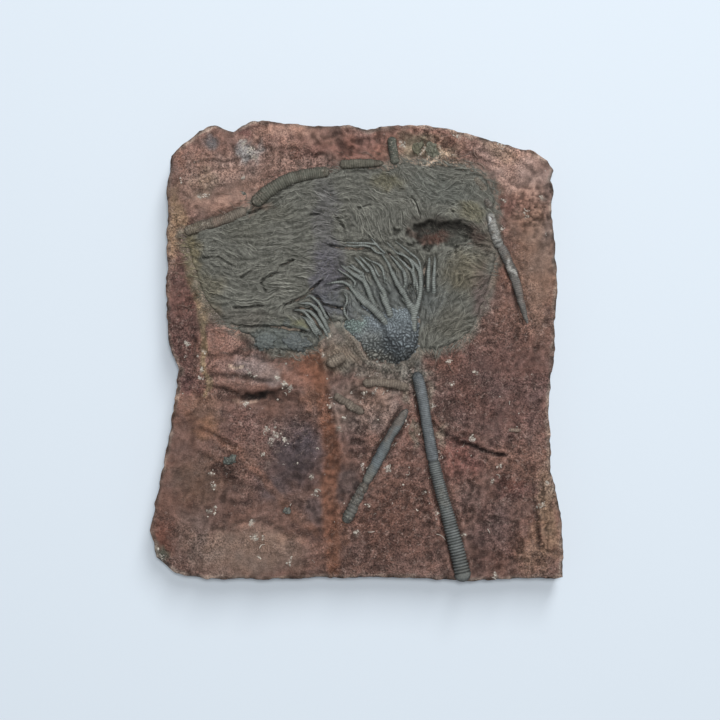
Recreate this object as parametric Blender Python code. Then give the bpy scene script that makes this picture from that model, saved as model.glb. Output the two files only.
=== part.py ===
"""Crinoid fossil: a sea-lily crown and its stems, in relief on a broken slab of red limestone.

The slab lies on its sawn back (z = 0) with the fossil face up. +X runs to the right of the
face, +Y to the top of it. The origin is under the middle of the slab.
"""

import math

import bmesh
import bpy
from mathutils import Vector

MM = 0.001
GAP = 0.3 * MM                  # clearance between pieces that touch

# Slab
FACE_HEIGHT = 27.0 * MM         # fossil face over the sawn back, away from any swelling
SLAB_REACH_X = 134.0 * MM       # half the slab's width
SLAB_REACH_Y = 150.0 * MM       # half the slab's length
GRID_PITCH = 15.0 * MM          # spacing of the face's points

# Crown of pinnules, a mat let into the face
MAT_PROUD = 1.2 * MM
MAT_DEPTH = 3.0 * MM

# Calyx, two crushed lobes
LOBE_HEIGHT = 8.0 * MM          # half of its thickness, so this much stands over the face
LOBE_SEGMENTS = 18
LOBE_RINGS = 10

# Hollow in the crown
HOLLOW_CENTRE = (57.0 * MM, 79.5 * MM)
HOLLOW_SIZE = (21.0 * MM, 7.0 * MM, 6.0 * MM)

# Broken outline of the slab, clockwise from the top left corner, in mm
SLAB_OUTLINE = [
    (-121, 127), (-113, 134), (-102, 143), (-93, 147), (-80.5, 143), (-69, 150), (-57, 149.5),
    (-24.5, 146), (-5, 147.5), (6.5, 143.5), (19, 146), (36, 147), (58.5, 145.5), (72, 140.5),
    (89.5, 137), (113, 130), (124, 124), (128.5, 117.5), (126, 111), (128, 104.5), (127, 88),
    (128.5, 73), (130.5, 40), (128.5, 19), (128.5, 6), (127.5, -9), (125, -37), (125.5, -63),
    (127, -82.5), (131.5, -97.5), (133, -110.5), (134, -132), (134, -147.5), (104.5, -148.5),
    (72, -150), (57, -148.5), (29, -147), (-24.5, -148), (-67.5, -148.5), (-100, -148),
    (-117.5, -145.5), (-124, -140.5), (-131.5, -135), (-132.5, -123.5), (-134, -117),
    (-131.5, -102), (-126, -74), (-121, -48), (-118.5, -35), (-116.5, -24), (-117.5, -19),
    (-115, -12.5), (-121, -0.5), (-123.5, 12.5), (-124, 40.5), (-123.5, 104.5), (-122, 115.5),
]

# Broad swellings and hollows of the face: x, y, half-width, half-length, rise, in mm
SWELLINGS = [
    (5, 65, 80, 55, 3.0),
    (20, 12, 36, 24, 2.0),
    (-72, -12, 46, 13, 2.2),
    (-58, -31, 38, 6, -2.6),
    (-98, 128, 26, 18, 1.4),
    (30, 136, 60, 9, -1.2),
    (116, 45, 14, 34, 1.2),
    (95, -48, 34, 24, -1.2),
    (-84, -76, 9, 8, -2.0),
    (-45, -120, 60, 22, 0.8),
    (-130, -138, 13, 14, -5.0),
    (132, 118, 12, 12, -2.5),
]

# Outer edges of the crown's three mats and the two joints between them, in mm
LEFT_MAT_EDGE = [
    (-16, 17), (-25.5, 2.5), (-37, -2.5), (-50, -1), (-60, 3.5), (-69.5, 8.5), (-77.5, 13.5),
    (-88, 20), (-97, 28), (-103.5, 43), (-108.5, 58), (-112.5, 75), (-100, 80.5), (-92.5, 83),
    (-81.5, 86.5), (-72, 91.5), (-65, 97), (-57, 104), (-49.5, 108), (-43, 111.5), (-35.5, 113.5),
    (-27, 115), (-17, 116),
]
LEFT_JOINT = [(-17, 116), (-17, 98), (-16.5, 75.5), (-17, 56), (-16.5, 36), (-16, 17)]
TOP_MAT_EDGE = [
    (-17, 116), (-8, 118.5), (20, 118.5), (29, 123), (57, 121.5), (73.5, 119), (83, 114),
    (91, 101.5), (89.5, 88.5), (91, 71),
]
RIGHT_JOINT = [(91, 71), (73.5, 66.5), (55, 64.5), (45, 57), (43.5, 39.5), (40, 20)]
MAT_EDGE_UNDER_CALYX = [(40, 20), (33, 14), (8, 14), (-4, 18), (-16, 17)]
RIGHT_MAT_EDGE = [
    (91, 71), (92.5, 64.5), (89, 49.5), (84, 32), (78.5, 20), (73.5, 10.5), (63.5, 4),
    (52, -0.5), (41, 1), (37, 10), (40, 20),
]

# Calyx lobes: name, centre x and y, half-width, half-length in mm, turn in degrees
CALYX_LOBES = [
    ("calyx", 6.5, 12.5, 14.0, 14.0, -20),
    ("right_lobe", 30.0, 10.5, 14.0, 21.5, 10),
]

# Every route below is a list of (x, y, radius) in mm. LIFT is how far the middle of a round
# piece stands over the rock beside it, as a share of its radius.
STEMS = {
    "stem_upper": (0.35, [
        (36.5, -9, 3.1), (40.3, -20, 3.2), (43.5, -35, 3.2), (45.5, -48, 3.25),
        (49.3, -69.5, 3.3),
    ]),
    "stem_lower": (0.35, [
        (50.0, -73, 3.3), (52.5, -83, 3.4), (59, -107, 3.7), (66, -133, 4.1), (69.3, -147.5, 4.3),
    ]),
    "loose_stem_left": (0.1, [
        (-112, 77.5, 2.8), (-100, 81.5, 2.9), (-92.5, 83.5, 2.9), (-81.5, 87, 2.9),
        (-72.5, 91.5, 2.6),
    ]),
    "loose_stem_upper_left": (0.25, [
        (-66.5, 96, 4.4), (-58, 103.5, 4.2), (-50, 108.5, 4.0), (-43, 112, 3.8),
        (-35.5, 114, 3.6), (-27, 115.5, 3.4), (-18.5, 116.3, 3.1),
    ]),
    "loose_stem_top": (0.2, [
        (-11, 121, 2.2), (-1.5, 121.5, 2.2), (8.5, 122, 2.1), (17.3, 122.2, 1.4),
    ]),
    "stem_stub_top": (0.1, [(22.5, 139, 2.4), (23.5, 130.5, 2.4), (25, 121.5, 2.2)]),
    "loose_stem_right_top": (0.0, [(76.5, 113, 1.8), (80.5, 108, 2.0), (84.3, 103.8, 1.9)]),
    "loose_stem_right_bend": (0.1, [(83, 99.3, 1.9), (85.5, 95.5, 2.1), (87.3, 92.6, 2.1)]),
    "loose_stem_right_bright": (0.3, [(86.8, 88.6, 2.6), (88.5, 80, 3.0), (91.3, 70.2, 2.9)]),
    "loose_stem_right_long": (0.25, [
        (95, 65.5, 2.7), (100, 54, 2.8), (104, 43, 2.7), (106.5, 33, 2.4), (108.3, 26.5, 2.0),
    ]),
    "second_stem": (0.3, [
        (31.5, -40, 2.6), (26.5, -48, 2.7), (20.5, -57.5, 2.7), (15, -68.5, 2.7), (9, -79.5, 2.8),
        (6.4, -84.3, 2.8),
    ]),
    "second_stem_foot": (0.1, [
        (4.4, -88.6, 2.8), (-1, -99, 3.0), (-4.5, -106, 3.3), (-7.5, -110.5, 3.0),
    ]),
    "ribbed_stem_by_calyx": (0.0, [(-18.5, -9, 2.8), (-13, -6, 3.0), (-8.3, -3.2, 2.7)]),
    "ribbed_stem_across": (-0.1, [
        (4, -21, 2.3), (16.5, -20.5, 2.6), (25, -21.5, 2.6), (34, -24.5, 2.3),
    ]),
    "loose_stem_oblique": (0.0, [(-15, -28.5, 2.0), (-4.5, -35.5, 2.3), (4, -40.5, 1.9)]),
    "loose_stem_small": (0.0, [(97.5, -51.5, 1.6), (103, -51.8, 1.7), (108.5, -52, 1.4)]),
}

ARMS = {
    "arm_left_upper": [
        (-18, 11.5, 1.3), (-21.5, 20, 1.3), (-24.5, 25.5, 1.2), (-27.5, 29, 1.1),
        (-31, 30.7, 1.0), (-37.5, 31, 0.7),
    ],
    "arm_left_middle": [
        (-21.7, 13.8, 1.2), (-25, 20, 1.2), (-27.8, 23.5, 1.1), (-30.8, 26, 1.0), (-35, 26.3, 0.9),
        (-39.5, 26.5, 0.6),
    ],
    "arm_left_lower": [
        (-25.5, 10, 1.2), (-28, 15.5, 1.2), (-30.8, 19.3, 1.1), (-34, 22.3, 0.7),
    ],
    "arm_a_trunk": [
        (17, 22, 1.9), (8, 28.5, 1.9), (1.5, 34, 1.7), (-2, 39, 1.4), (-5, 42, 1.1), (-8.5, 45, 0.7),
    ],
    "arm_a_fork": [
        (12.5, 27, 1.8), (10, 32, 1.8), (7, 40.5, 1.6), (4.5, 45, 1.4), (0, 48, 1.2),
        (-4, 50.5, 1.0), (-10, 55, 0.7),
    ],
    "arm_a_twig": [(5, 49.2, 1.0), (1, 52, 1.0), (-2.5, 54.8, 0.9), (-5, 57, 0.6)],
    "arm_b_trunk": [
        (20, 30, 1.8), (17.3, 38, 1.7), (14.5, 43, 1.5), (11.8, 47, 1.3), (9.5, 53, 1.2),
        (6.5, 56.5, 1.0), (1, 62, 0.7),
    ],
    "arm_b_twig": [(7.5, 50.5, 0.9), (4.7, 54, 0.9), (1.6, 57.3, 0.8), (-1.5, 60, 0.6)],
    "arm_b_side": [(17.8, 46.5, 1.2), (17, 52, 1.1), (15, 55.5, 0.9), (11.5, 58, 0.7)],
    "arm_c_trunk": [
        (36.5, 25.5, 2.3), (33.5, 30.5, 2.3), (30.3, 37.5, 2.1), (26.5, 43.5, 1.8), (23, 50.5, 1.4),
        (20.5, 57, 1.2), (16, 63.5, 0.8),
    ],
    "arm_c_inner": [
        (31.5, 41.5, 1.3), (31.7, 47.5, 1.3), (30, 52, 1.2), (27, 56, 1.1), (21, 62.5, 0.7),
    ],
    "arm_c_middle": [
        (37.7, 40, 1.2), (37.5, 47, 1.2), (35.5, 52, 1.2), (32, 55, 1.0), (25.5, 61.5, 0.7),
    ],
    "arm_c_outer": [
        (38.5, 29, 1.8), (41, 36, 1.6), (41.7, 43, 1.4), (41.3, 50, 1.3), (38, 56.5, 1.2),
        (33.5, 60, 1.0), (27.5, 64.5, 0.7),
    ],
    "arm_d_inner": [(46.5, 38, 1.4), (46.4, 45, 1.4), (46.5, 51, 1.3), (47, 60.5, 1.0)],
    "arm_d_outer": [(50.2, 37, 1.4), (50, 45, 1.4), (50.2, 52, 1.3), (50.7, 61, 1.0)],
}
ARM_LIFT = 0.3
STEM_SIDES = 10
ARM_SIDES = 6

# An arm that leaves another at a fork stops at it
FORKS = [
    ("arm_a_fork", "arm_a_trunk"),
    ("arm_b_twig", "arm_b_trunk"),
    ("arm_c_inner", "arm_c_trunk"),
    ("arm_c_middle", "arm_c_outer"),
    ("arm_c_outer", "arm_c_trunk"),
]

# Round columnal lying flat beside the left stem: x, y, radius, thickness over the face, in mm
COLUMNAL = (-75.0, 100.5, 3.3, 1.6)

# Low domes in the face: x, y, half-width, half-length, height, in mm, and turn in degrees
DOMES = {
    "plate_cluster_left": (-60, 5.5, 7.5, 5.0, 2.6, 10),
    "plate_cluster_right": (-38.5, 4.5, 8.5, 5.5, 2.6, -10),
    "nodule_lower_left": (-83, -71.5, 4.2, 3.6, 3.0, 0),
    "nodule_lower_middle": (-45.5, -104.5, 2.8, 2.6, 1.4, 0),
    "nodule_upper_right": (115.5, 93, 5.5, 6.5, 2.0, 0),
    "plate_fragment_left": (39.7, 132, 3.4, 5.2, 1.5, -25),
    "plate_fragment_right": (49, 130.7, 3.8, 5.2, 1.5, 20),
}
DOME_SEGMENTS = 12
DOME_RINGS = 6

STONE_RED = (0.175, 0.085, 0.062, 1.0)
CRINOID_GREY = (0.115, 0.122, 0.118, 1.0)
PINNULE_GREY = (0.120, 0.117, 0.100, 1.0)
STEM_BUFF = (0.230, 0.180, 0.130, 1.0)


def swelling(x, y):
    """Height of the fossil face over the back at a place on it, in metres."""
    rise = 0.0
    for centre_x, centre_y, half_x, half_y, height in SWELLINGS:
        across = (x / MM - centre_x) / half_x
        along = (y / MM - centre_y) / half_y
        rise += height * math.exp(-across * across - along * along)
    return FACE_HEIGHT + rise * MM


def offset_outline(outline, distance):
    """The closed outline with every side moved outwards by the distance. It turns either way."""
    count = len(outline)
    area = sum(
        outline[i - 1][0] * outline[i][1] - outline[i][0] * outline[i - 1][1] for i in range(count)
    )
    normals = []
    for i in range(count):
        along = Vector(outline[i]) - Vector(outline[i - 1])
        outward = Vector((along.y, -along.x)).normalized()
        normals.append(outward if area > 0 else -outward)
    moved = []
    for i in range(count):
        before = normals[i]
        after = normals[(i + 1) % count]
        mitre = (before + after) / (1 + before.dot(after))
        moved.append(tuple(Vector(outline[i]) + mitre * distance))
    return moved


def add_object(name, mesh, collection):
    obj = bpy.data.objects.new(name, mesh)
    collection.objects.link(obj)
    if collection.hide_render:
        obj.hide_render = True
        obj.display_type = "WIRE"
    return obj


def solid_from_curve(name, curve, collection):
    """A closed mesh object with the shape of a curve. The curve isn't kept."""
    source = bpy.data.objects.new(name + "_curve", curve)
    collection.objects.link(source)
    graph = bpy.context.evaluated_depsgraph_get()
    mesh = bpy.data.meshes.new_from_object(source.evaluated_get(graph), depsgraph=graph)
    mesh.name = name
    bpy.data.objects.remove(source)
    bpy.data.curves.remove(curve)
    shape = bmesh.new()
    shape.from_mesh(mesh)
    bmesh.ops.remove_doubles(shape, verts=shape.verts, dist=0.001 * MM)
    bmesh.ops.recalc_face_normals(shape, faces=shape.faces)
    shape.to_mesh(mesh)
    shape.free()
    mesh.materials.clear()
    return add_object(name, mesh, collection)


def outline_block(name, outline, low, high, collection):
    """An upright block with a flat outline, from the height low to the height high."""
    curve = bpy.data.curves.new(name, "CURVE")
    curve.dimensions = "2D"
    curve.fill_mode = "BOTH"
    curve.extrude = (high - low) / 2
    spline = curve.splines.new("POLY")
    spline.points.add(len(outline) - 1)
    spline.use_cyclic_u = True
    for point, (x, y) in zip(spline.points, outline):
        point.co = (x * MM, y * MM, 0.0, 1.0)
    block = solid_from_curve(name, curve, collection)
    middle = (high + low) / 2
    for vertex in block.data.vertices:
        vertex.co.z += middle
    return block


def face_layer(name, low, thickness, collection):
    """A layer that follows the fossil face, from low over it and up by the thickness."""
    columns = round(2 * SLAB_REACH_X / GRID_PITCH) + 1
    rows = round(2 * SLAB_REACH_Y / GRID_PITCH) + 1
    shape = bmesh.new()
    bmesh.ops.create_grid(shape, x_segments=columns, y_segments=rows, size=1.0)
    for vertex in shape.verts:
        vertex.co.x *= SLAB_REACH_X + GRID_PITCH / 2
        vertex.co.y *= SLAB_REACH_Y + GRID_PITCH / 2
        vertex.co.z = swelling(vertex.co.x, vertex.co.y) + low
    raised = bmesh.ops.extrude_face_region(shape, geom=shape.faces[:])["geom"]
    lifted = [item for item in raised if isinstance(item, bmesh.types.BMVert)]
    bmesh.ops.translate(shape, verts=lifted, vec=(0.0, 0.0, thickness))
    bmesh.ops.recalc_face_normals(shape, faces=shape.faces)
    mesh = bpy.data.meshes.new(name)
    shape.to_mesh(mesh)
    shape.free()
    return add_object(name, mesh, collection)


def round_piece(name, route, lift, base, grow, sides, collection):
    """A tapering tube along a route over the face. Grown by grow, it is the piece's cutter."""
    curve = bpy.data.curves.new(name, "CURVE")
    curve.dimensions = "3D"
    curve.bevel_depth = MM
    curve.bevel_resolution = sides // 2 - 2
    curve.use_fill_caps = True
    middles = []
    for x, y, radius in route:
        height = swelling(x * MM, y * MM) + base + lift * radius * MM
        middles.append(Vector((x * MM, y * MM, height)))
    start = middles[0] + (middles[0] - middles[1]).normalized() * grow
    end = middles[-1] + (middles[-1] - middles[-2]).normalized() * grow
    middles[0], middles[-1] = start, end
    spline = curve.splines.new("POLY")
    spline.points.add(len(route) - 1)
    for point, middle, (x, y, radius) in zip(spline.points, middles, route):
        point.co = (*middle, 1.0)
        point.radius = radius + grow / MM
    return solid_from_curve(name, curve, collection)


def ellipsoid(name, place, size, turn, segments, rings, collection):
    """An ellipsoid at a place, with its three half-sizes, turned about the upright by degrees."""
    shape = bmesh.new()
    bmesh.ops.create_uvsphere(shape, u_segments=segments, v_segments=rings, radius=1.0)
    bmesh.ops.scale(shape, verts=shape.verts, vec=size)
    mesh = bpy.data.meshes.new(name)
    shape.to_mesh(mesh)
    shape.free()
    obj = add_object(name, mesh, collection)
    obj.location = place
    obj.rotation_euler.z = math.radians(turn)
    return obj


def lobe(name, x, y, half_width, half_length, turn, grow, collection):
    """One lobe of the calyx, lying on the face."""
    place = (x * MM, y * MM, swelling(x * MM, y * MM) + MAT_PROUD)
    size = (half_width * MM + grow, half_length * MM + grow, LOBE_HEIGHT + grow)
    return ellipsoid(name, place, size, turn, LOBE_SEGMENTS, LOBE_RINGS, collection)


def dome(name, x, y, half_width, half_length, height, turn, grow, collection):
    """A plate or nodule that is half sunk in the face."""
    place = (x * MM, y * MM, swelling(x * MM, y * MM))
    size = (half_width * MM + grow, half_length * MM + grow, height * MM + grow)
    return ellipsoid(name, place, size, turn, DOME_SEGMENTS, DOME_RINGS, collection)


def boolean(host, other, operation):
    modifier = host.modifiers.new(operation.title() + " " + other.name, "BOOLEAN")
    modifier.operation = operation
    modifier.object = other
    modifier.solver = "EXACT"


def settle(obj):
    """Makes an object's shape, with its modifiers, into its own mesh."""
    graph = bpy.context.evaluated_depsgraph_get()
    mesh = bpy.data.meshes.new_from_object(obj.evaluated_get(graph), depsgraph=graph)
    obj.modifiers.clear()
    obj.data = mesh


def give_material(obj, name, colour, roughness):
    material = bpy.data.materials.new(name)
    material.use_nodes = True
    surface = material.node_tree.nodes["Principled BSDF"]
    surface.inputs["Base Color"].default_value = colour
    surface.inputs["Roughness"].default_value = roughness
    obj.data.materials.clear()
    obj.data.materials.append(material)
    obj.data.shade_smooth()
    obj.data.set_sharp_from_angle(angle=math.radians(35))


def make_slab(parts, cutters):
    """The rock, with the pocket for the crown's mats. Its grooves are cut later."""
    top = FACE_HEIGHT * 2
    slab = outline_block("matrix_slab", SLAB_OUTLINE, 0.0, top, parts)
    below_face = face_layer("rock_under_face", -top, top, cutters)
    boolean(slab, below_face, "INTERSECT")
    crown = LEFT_MAT_EDGE[:-1] + TOP_MAT_EDGE[:-1] + RIGHT_MAT_EDGE + MAT_EDGE_UNDER_CALYX[1:-1]
    pocket = outline_block("crown_pocket", offset_outline(crown, GAP / 2 / MM), 0.0, top, cutters)
    above_floor = face_layer("over_pocket_floor", -MAT_DEPTH - GAP, top, cutters)
    boolean(pocket, above_floor, "INTERSECT")
    boolean(slab, pocket, "DIFFERENCE")
    settle(slab)
    return slab


def make_mats(parts, cutters):
    """The crown's three mats of pinnules, which meet along two joints in the rock."""
    edges = {
        "pinnules_left": LEFT_MAT_EDGE + LEFT_JOINT[1:-1],
        "pinnules_top": TOP_MAT_EDGE + RIGHT_JOINT[1:] + MAT_EDGE_UNDER_CALYX[1:-1]
        + LEFT_JOINT[:0:-1],
        "pinnules_right": RIGHT_MAT_EDGE + RIGHT_JOINT[-2:0:-1],
    }
    layer = face_layer("pinnule_layer", -MAT_DEPTH, MAT_DEPTH + MAT_PROUD, cutters)
    mats = {}
    for name, outline in edges.items():
        inset = offset_outline(outline, -GAP / 2 / MM)
        mats[name] = outline_block(name, inset, 0.0, FACE_HEIGHT * 2, parts)
        boolean(mats[name], layer, "INTERSECT")
        settle(mats[name])
    return mats


def make_calyx(collection, grow):
    """The cup, two crushed lobes joined in one solid."""
    lobes = [lobe(*measures, grow, collection) for measures in CALYX_LOBES]
    boolean(lobes[0], lobes[1], "UNION")
    settle(lobes[0])
    bpy.data.objects.remove(lobes[1])
    return lobes[0]


def make_columnal(collection, grow):
    x, y, radius, height = COLUMNAL
    shape = bmesh.new()
    bmesh.ops.create_cone(
        shape, cap_ends=True, segments=16, radius1=radius * MM + grow, radius2=radius * MM + grow,
        depth=2 * (height * MM + grow),
    )
    mesh = bpy.data.meshes.new("columnal")
    shape.to_mesh(mesh)
    shape.free()
    obj = add_object("columnal", mesh, collection)
    obj.location = (x * MM, y * MM, swelling(x * MM, y * MM))
    return obj


def make_hollow(cutters):
    """Cutter for the hollow in the crown, where the mat is broken away."""
    x, y = HOLLOW_CENTRE
    place = (x, y, swelling(x, y) + MAT_PROUD)
    return ellipsoid("hollow", place, HOLLOW_SIZE, 0, 16, 8, cutters)


def main():
    for obj in list(bpy.data.objects):
        bpy.data.objects.remove(obj, do_unlink=True)
    parts = bpy.data.collections.new("crinoid_fossil")
    cutters = bpy.data.collections.new("cutters")
    cutters.hide_render = True
    for collection in (parts, cutters):
        bpy.context.scene.collection.children.link(collection)

    slab = make_slab(parts, cutters)
    mats = make_mats(parts, cutters)
    calyx = make_calyx(parts, 0.0)
    calyx_cutter = make_calyx(cutters, GAP)
    columnal = make_columnal(parts, 0.0)
    hosts = [slab, *mats.values()]

    sockets = [calyx_cutter, make_hollow(cutters), make_columnal(cutters, GAP)]
    stems = {}
    for name, (lift, route) in STEMS.items():
        stems[name] = round_piece(name, route, lift, 0.0, 0.0, STEM_SIDES, parts)
        sockets.append(round_piece(name + "_socket", route, lift, 0.0, GAP, STEM_SIDES, cutters))
    boolean(stems["stem_upper"], calyx_cutter, "DIFFERENCE")
    domes = {}
    for name, measures in DOMES.items():
        domes[name] = dome(name, *measures, 0.0, parts)
        sockets.append(dome(name + "_socket", *measures, GAP, cutters))
    arms = {}
    arm_sockets = {}
    for name, route in ARMS.items():
        arms[name] = round_piece(name, route, ARM_LIFT, MAT_PROUD, 0.0, ARM_SIDES, parts)
        socket = round_piece(
            name + "_socket", route, ARM_LIFT, MAT_PROUD, GAP, ARM_SIDES, cutters
        )
        arm_sockets[name] = socket
        boolean(arms[name], calyx_cutter, "DIFFERENCE")
    for arm, trunk in FORKS:
        boolean(arms[arm], arm_sockets[trunk], "DIFFERENCE")

    for host in hosts:
        for socket in sockets:
            if boxes_meet(host, socket):
                boolean(host, socket, "DIFFERENCE")
    for mat in mats.values():
        for socket in arm_sockets.values():
            if boxes_meet(mat, socket):
                boolean(mat, socket, "DIFFERENCE")

    give_material(slab, "red_limestone", STONE_RED, 0.85)
    give_material(calyx, "calyx_calcite", CRINOID_GREY, 0.6)
    give_material(columnal, "columnal_calcite", CRINOID_GREY, 0.65)
    for name, mat in mats.items():
        give_material(mat, name + "_calcite", PINNULE_GREY, 0.75)
    for name, arm in (arms | domes).items():
        give_material(arm, name + "_calcite", CRINOID_GREY, 0.65)
    for name, stem in stems.items():
        dark = name.startswith(("stem_upper", "stem_lower", "second_stem", "loose_stem_right_long"))
        give_material(stem, name + "_calcite", CRINOID_GREY if dark else STEM_BUFF, 0.65)


def boxes_meet(one, other):
    """True where the boxes of two objects share some space."""
    lows, highs = [], []
    for obj in (one, other):
        corners = [obj.matrix_world @ vertex.co for vertex in obj.data.vertices]
        lows.append([min(corner[axis] for corner in corners) for axis in range(3)])
        highs.append([max(corner[axis] for corner in corners) for axis in range(3)])
    return all(
        lows[0][axis] < highs[1][axis] and lows[1][axis] < highs[0][axis] for axis in range(3)
    )


main()
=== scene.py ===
"""Crinoid fossil in relief on a slab of red limestone: its finish, piece by piece.

Laid out as a Blender add-on and run as a script. Each operator makes one piece, or one group of
like pieces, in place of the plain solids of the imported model. Places and sizes in the tables are
in mm, in the model's own frame: +Z out of the fossil face, +Y to the crown's end.
"""

import math

import bpy
import numpy as np
from bpy.props import FloatProperty, FloatVectorProperty, IntProperty, PointerProperty
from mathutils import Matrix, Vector, noise


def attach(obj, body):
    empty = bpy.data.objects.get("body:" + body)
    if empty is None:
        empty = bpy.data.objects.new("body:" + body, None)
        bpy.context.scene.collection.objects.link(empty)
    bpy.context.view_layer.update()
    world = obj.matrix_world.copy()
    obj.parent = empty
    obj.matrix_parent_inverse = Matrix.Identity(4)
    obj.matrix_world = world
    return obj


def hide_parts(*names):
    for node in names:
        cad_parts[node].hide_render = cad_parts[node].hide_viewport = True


bl_info = {
    "name": "Crinoid Fossil Slab",
    "version": (1, 0, 0),
    "blender": (4, 5, 0),
    "location": "View3D > Sidebar > Fossil",
    "description": "Builds a crinoid fossil in relief on a broken limestone slab",
    "category": "Object",
}

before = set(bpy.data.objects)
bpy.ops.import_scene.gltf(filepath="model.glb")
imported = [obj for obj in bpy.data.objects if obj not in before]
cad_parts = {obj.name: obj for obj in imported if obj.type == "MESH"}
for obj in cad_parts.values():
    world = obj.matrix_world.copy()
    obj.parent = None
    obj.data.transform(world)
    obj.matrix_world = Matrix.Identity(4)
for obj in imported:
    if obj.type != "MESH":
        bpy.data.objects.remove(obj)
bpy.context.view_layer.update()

MM = 0.001
BODY = "root"

# ---------------------------------------------------------------------------------------------
# Shape of the rock
# ---------------------------------------------------------------------------------------------

FACE_HEIGHT = 27.0
NOISE_REACH = 215.0
RELIEF = 1.6
FLAKE = 0.6


def srgb(red, green, blue):
    """A colour on the screen's 0 to 255 scale as the linear values that shaders take."""
    shares = np.array((red, green, blue)) / 255.0
    return np.where(shares <= 0.04045, shares / 12.92, ((shares + 0.055) / 1.055) ** 2.4)


# Broken outline, clockwise in four runs that meet at the slab's corners
OUTLINE_LEFT = [
    (-124, -140.5), (-131.5, -135), (-132.5, -123.5), (-134, -117), (-131.5, -102), (-126, -74),
    (-121, -48), (-118.5, -35), (-116.5, -24), (-117.5, -19), (-115, -12.5), (-121, -0.5),
    (-123.5, 12.5), (-124, 40.5), (-123.5, 104.5), (-122, 115.5), (-121, 127),
]
OUTLINE_TOP = [
    (-121, 127), (-113, 134), (-102, 143), (-93, 147), (-80.5, 143), (-69, 150), (-57, 149.5),
    (-24.5, 146), (-5, 147.5), (6.5, 143.5), (19, 146), (36, 147), (58.5, 145.5), (72, 140.5),
    (89.5, 137), (113, 130), (124, 124),
]
OUTLINE_RIGHT = [
    (124, 124), (128.5, 117.5), (126, 111), (128, 104.5), (127, 88), (128.5, 73), (130.5, 40),
    (128.5, 19), (128.5, 6), (127.5, -9), (125, -37), (125.5, -63), (127, -82.5), (131.5, -97.5),
    (133, -110.5), (134, -132), (134, -147.5),
]
OUTLINE_BOTTOM = [
    (134, -147.5), (104.5, -148.5), (72, -150), (57, -148.5), (29, -147), (-24.5, -148),
    (-67.5, -148.5), (-100, -148), (-117.5, -145.5), (-124, -140.5),
]

# Broad swellings and hollows of the face: x, y, half-width, half-length, rise
SWELLINGS = [
    (5, 65, 80, 55, 3.0),
    (20, 12, 36, 24, 2.0),
    (-72, -12, 46, 13, 2.2),
    (-58, -31, 38, 6, -2.6),
    (-98, 128, 26, 18, 1.4),
    (30, 136, 60, 9, -1.2),
    (116, 45, 14, 34, 1.2),
    (95, -48, 34, 24, -1.2),
    (-84, -76, 9, 8, -2.0),
    (-45, -120, 60, 22, 0.8),
    (-130, -138, 13, 14, -5.0),
    (132, 118, 12, 12, -2.5),
]

# Cracks and furrows of the rock: points, half-width, depth
FURROWS = [
    ([(-109, 123), (-104.5, 123.5), (-99.5, 124.5), (-96.5, 123.5), (-87, 123.5), (-82.5, 124.5),
      (-73, 125.5), (-60.5, 126)], 0.75, 1.5),
    ([(-102, -19.5), (-97, -22), (-88.5, -24.5), (-80, -27), (-74.5, -28)], 1.0, 1.4),
    ([(-75.5, -28), (-69.5, -30.5), (-63, -29.5), (-59, -28)], 1.9, 3.4),
    ([(-60.5, -28.5), (-50.5, -25.5), (-43.5, -24.5), (-40, -23.5), (-38, -20.5)], 1.0, 1.5),
    ([(-97, -13.5), (-91.5, -16), (-84.5, -17), (-71.5, -17.5), (-63, -20), (-53.5, -21)], 1.5, 1.2),
    ([(-83, -38.5), (-78.5, -37.5), (-72.5, -36.5)], 1.0, 1.0),
    ([(-73.5, 111.5), (-66.5, 110.5), (-61, 111.5)], 0.8, 0.8),
    ([(70.5, 132.5), (77.5, 127.5), (86.5, 122), (94.5, 119.5), (100, 117)], 1.3, 1.2),
    ([(96.5, 130), (102, 125.5), (111, 120), (117, 116)], 1.2, 1.2),
    ([(57.5, -54.5), (71, -60.5), (81.3, -64), (91, -67.3), (98.5, -69)], 1.05, 3.6),
    ([(48.5, -44), (53.5, -51), (60, -56.5)], 1.2, 2.0),
    ([(118.5, -112), (118.2, -119), (118.6, -130)], 0.8, 2.0),
    ([(125.5, -98), (126.3, -106), (125.8, -113)], 1.2, 1.6),
    ([(-105.5, -48), (-99, -52), (-90.5, -56), (-82, -61.5), (-76, -65)], 1.3, 1.2),
    ([(71, -82.5), (73.5, -86.5), (76, -91)], 0.8, 1.4),
    ([(113, 96), (112.5, 90.5), (115, 86), (119.5, 85), (121.5, 89.5)], 0.9, 1.1),
    ([(91, 92), (96, 93.5), (101, 94)], 0.9, 1.0),
    ([(-28, 126), (-24.5, 128.5), (-20, 127.5), (-18, 123.5), (-19.5, 120)], 1.1, 1.5),
    ([(-118, 58), (-112, 52), (-108, 47)], 0.9, 0.7),
]

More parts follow.
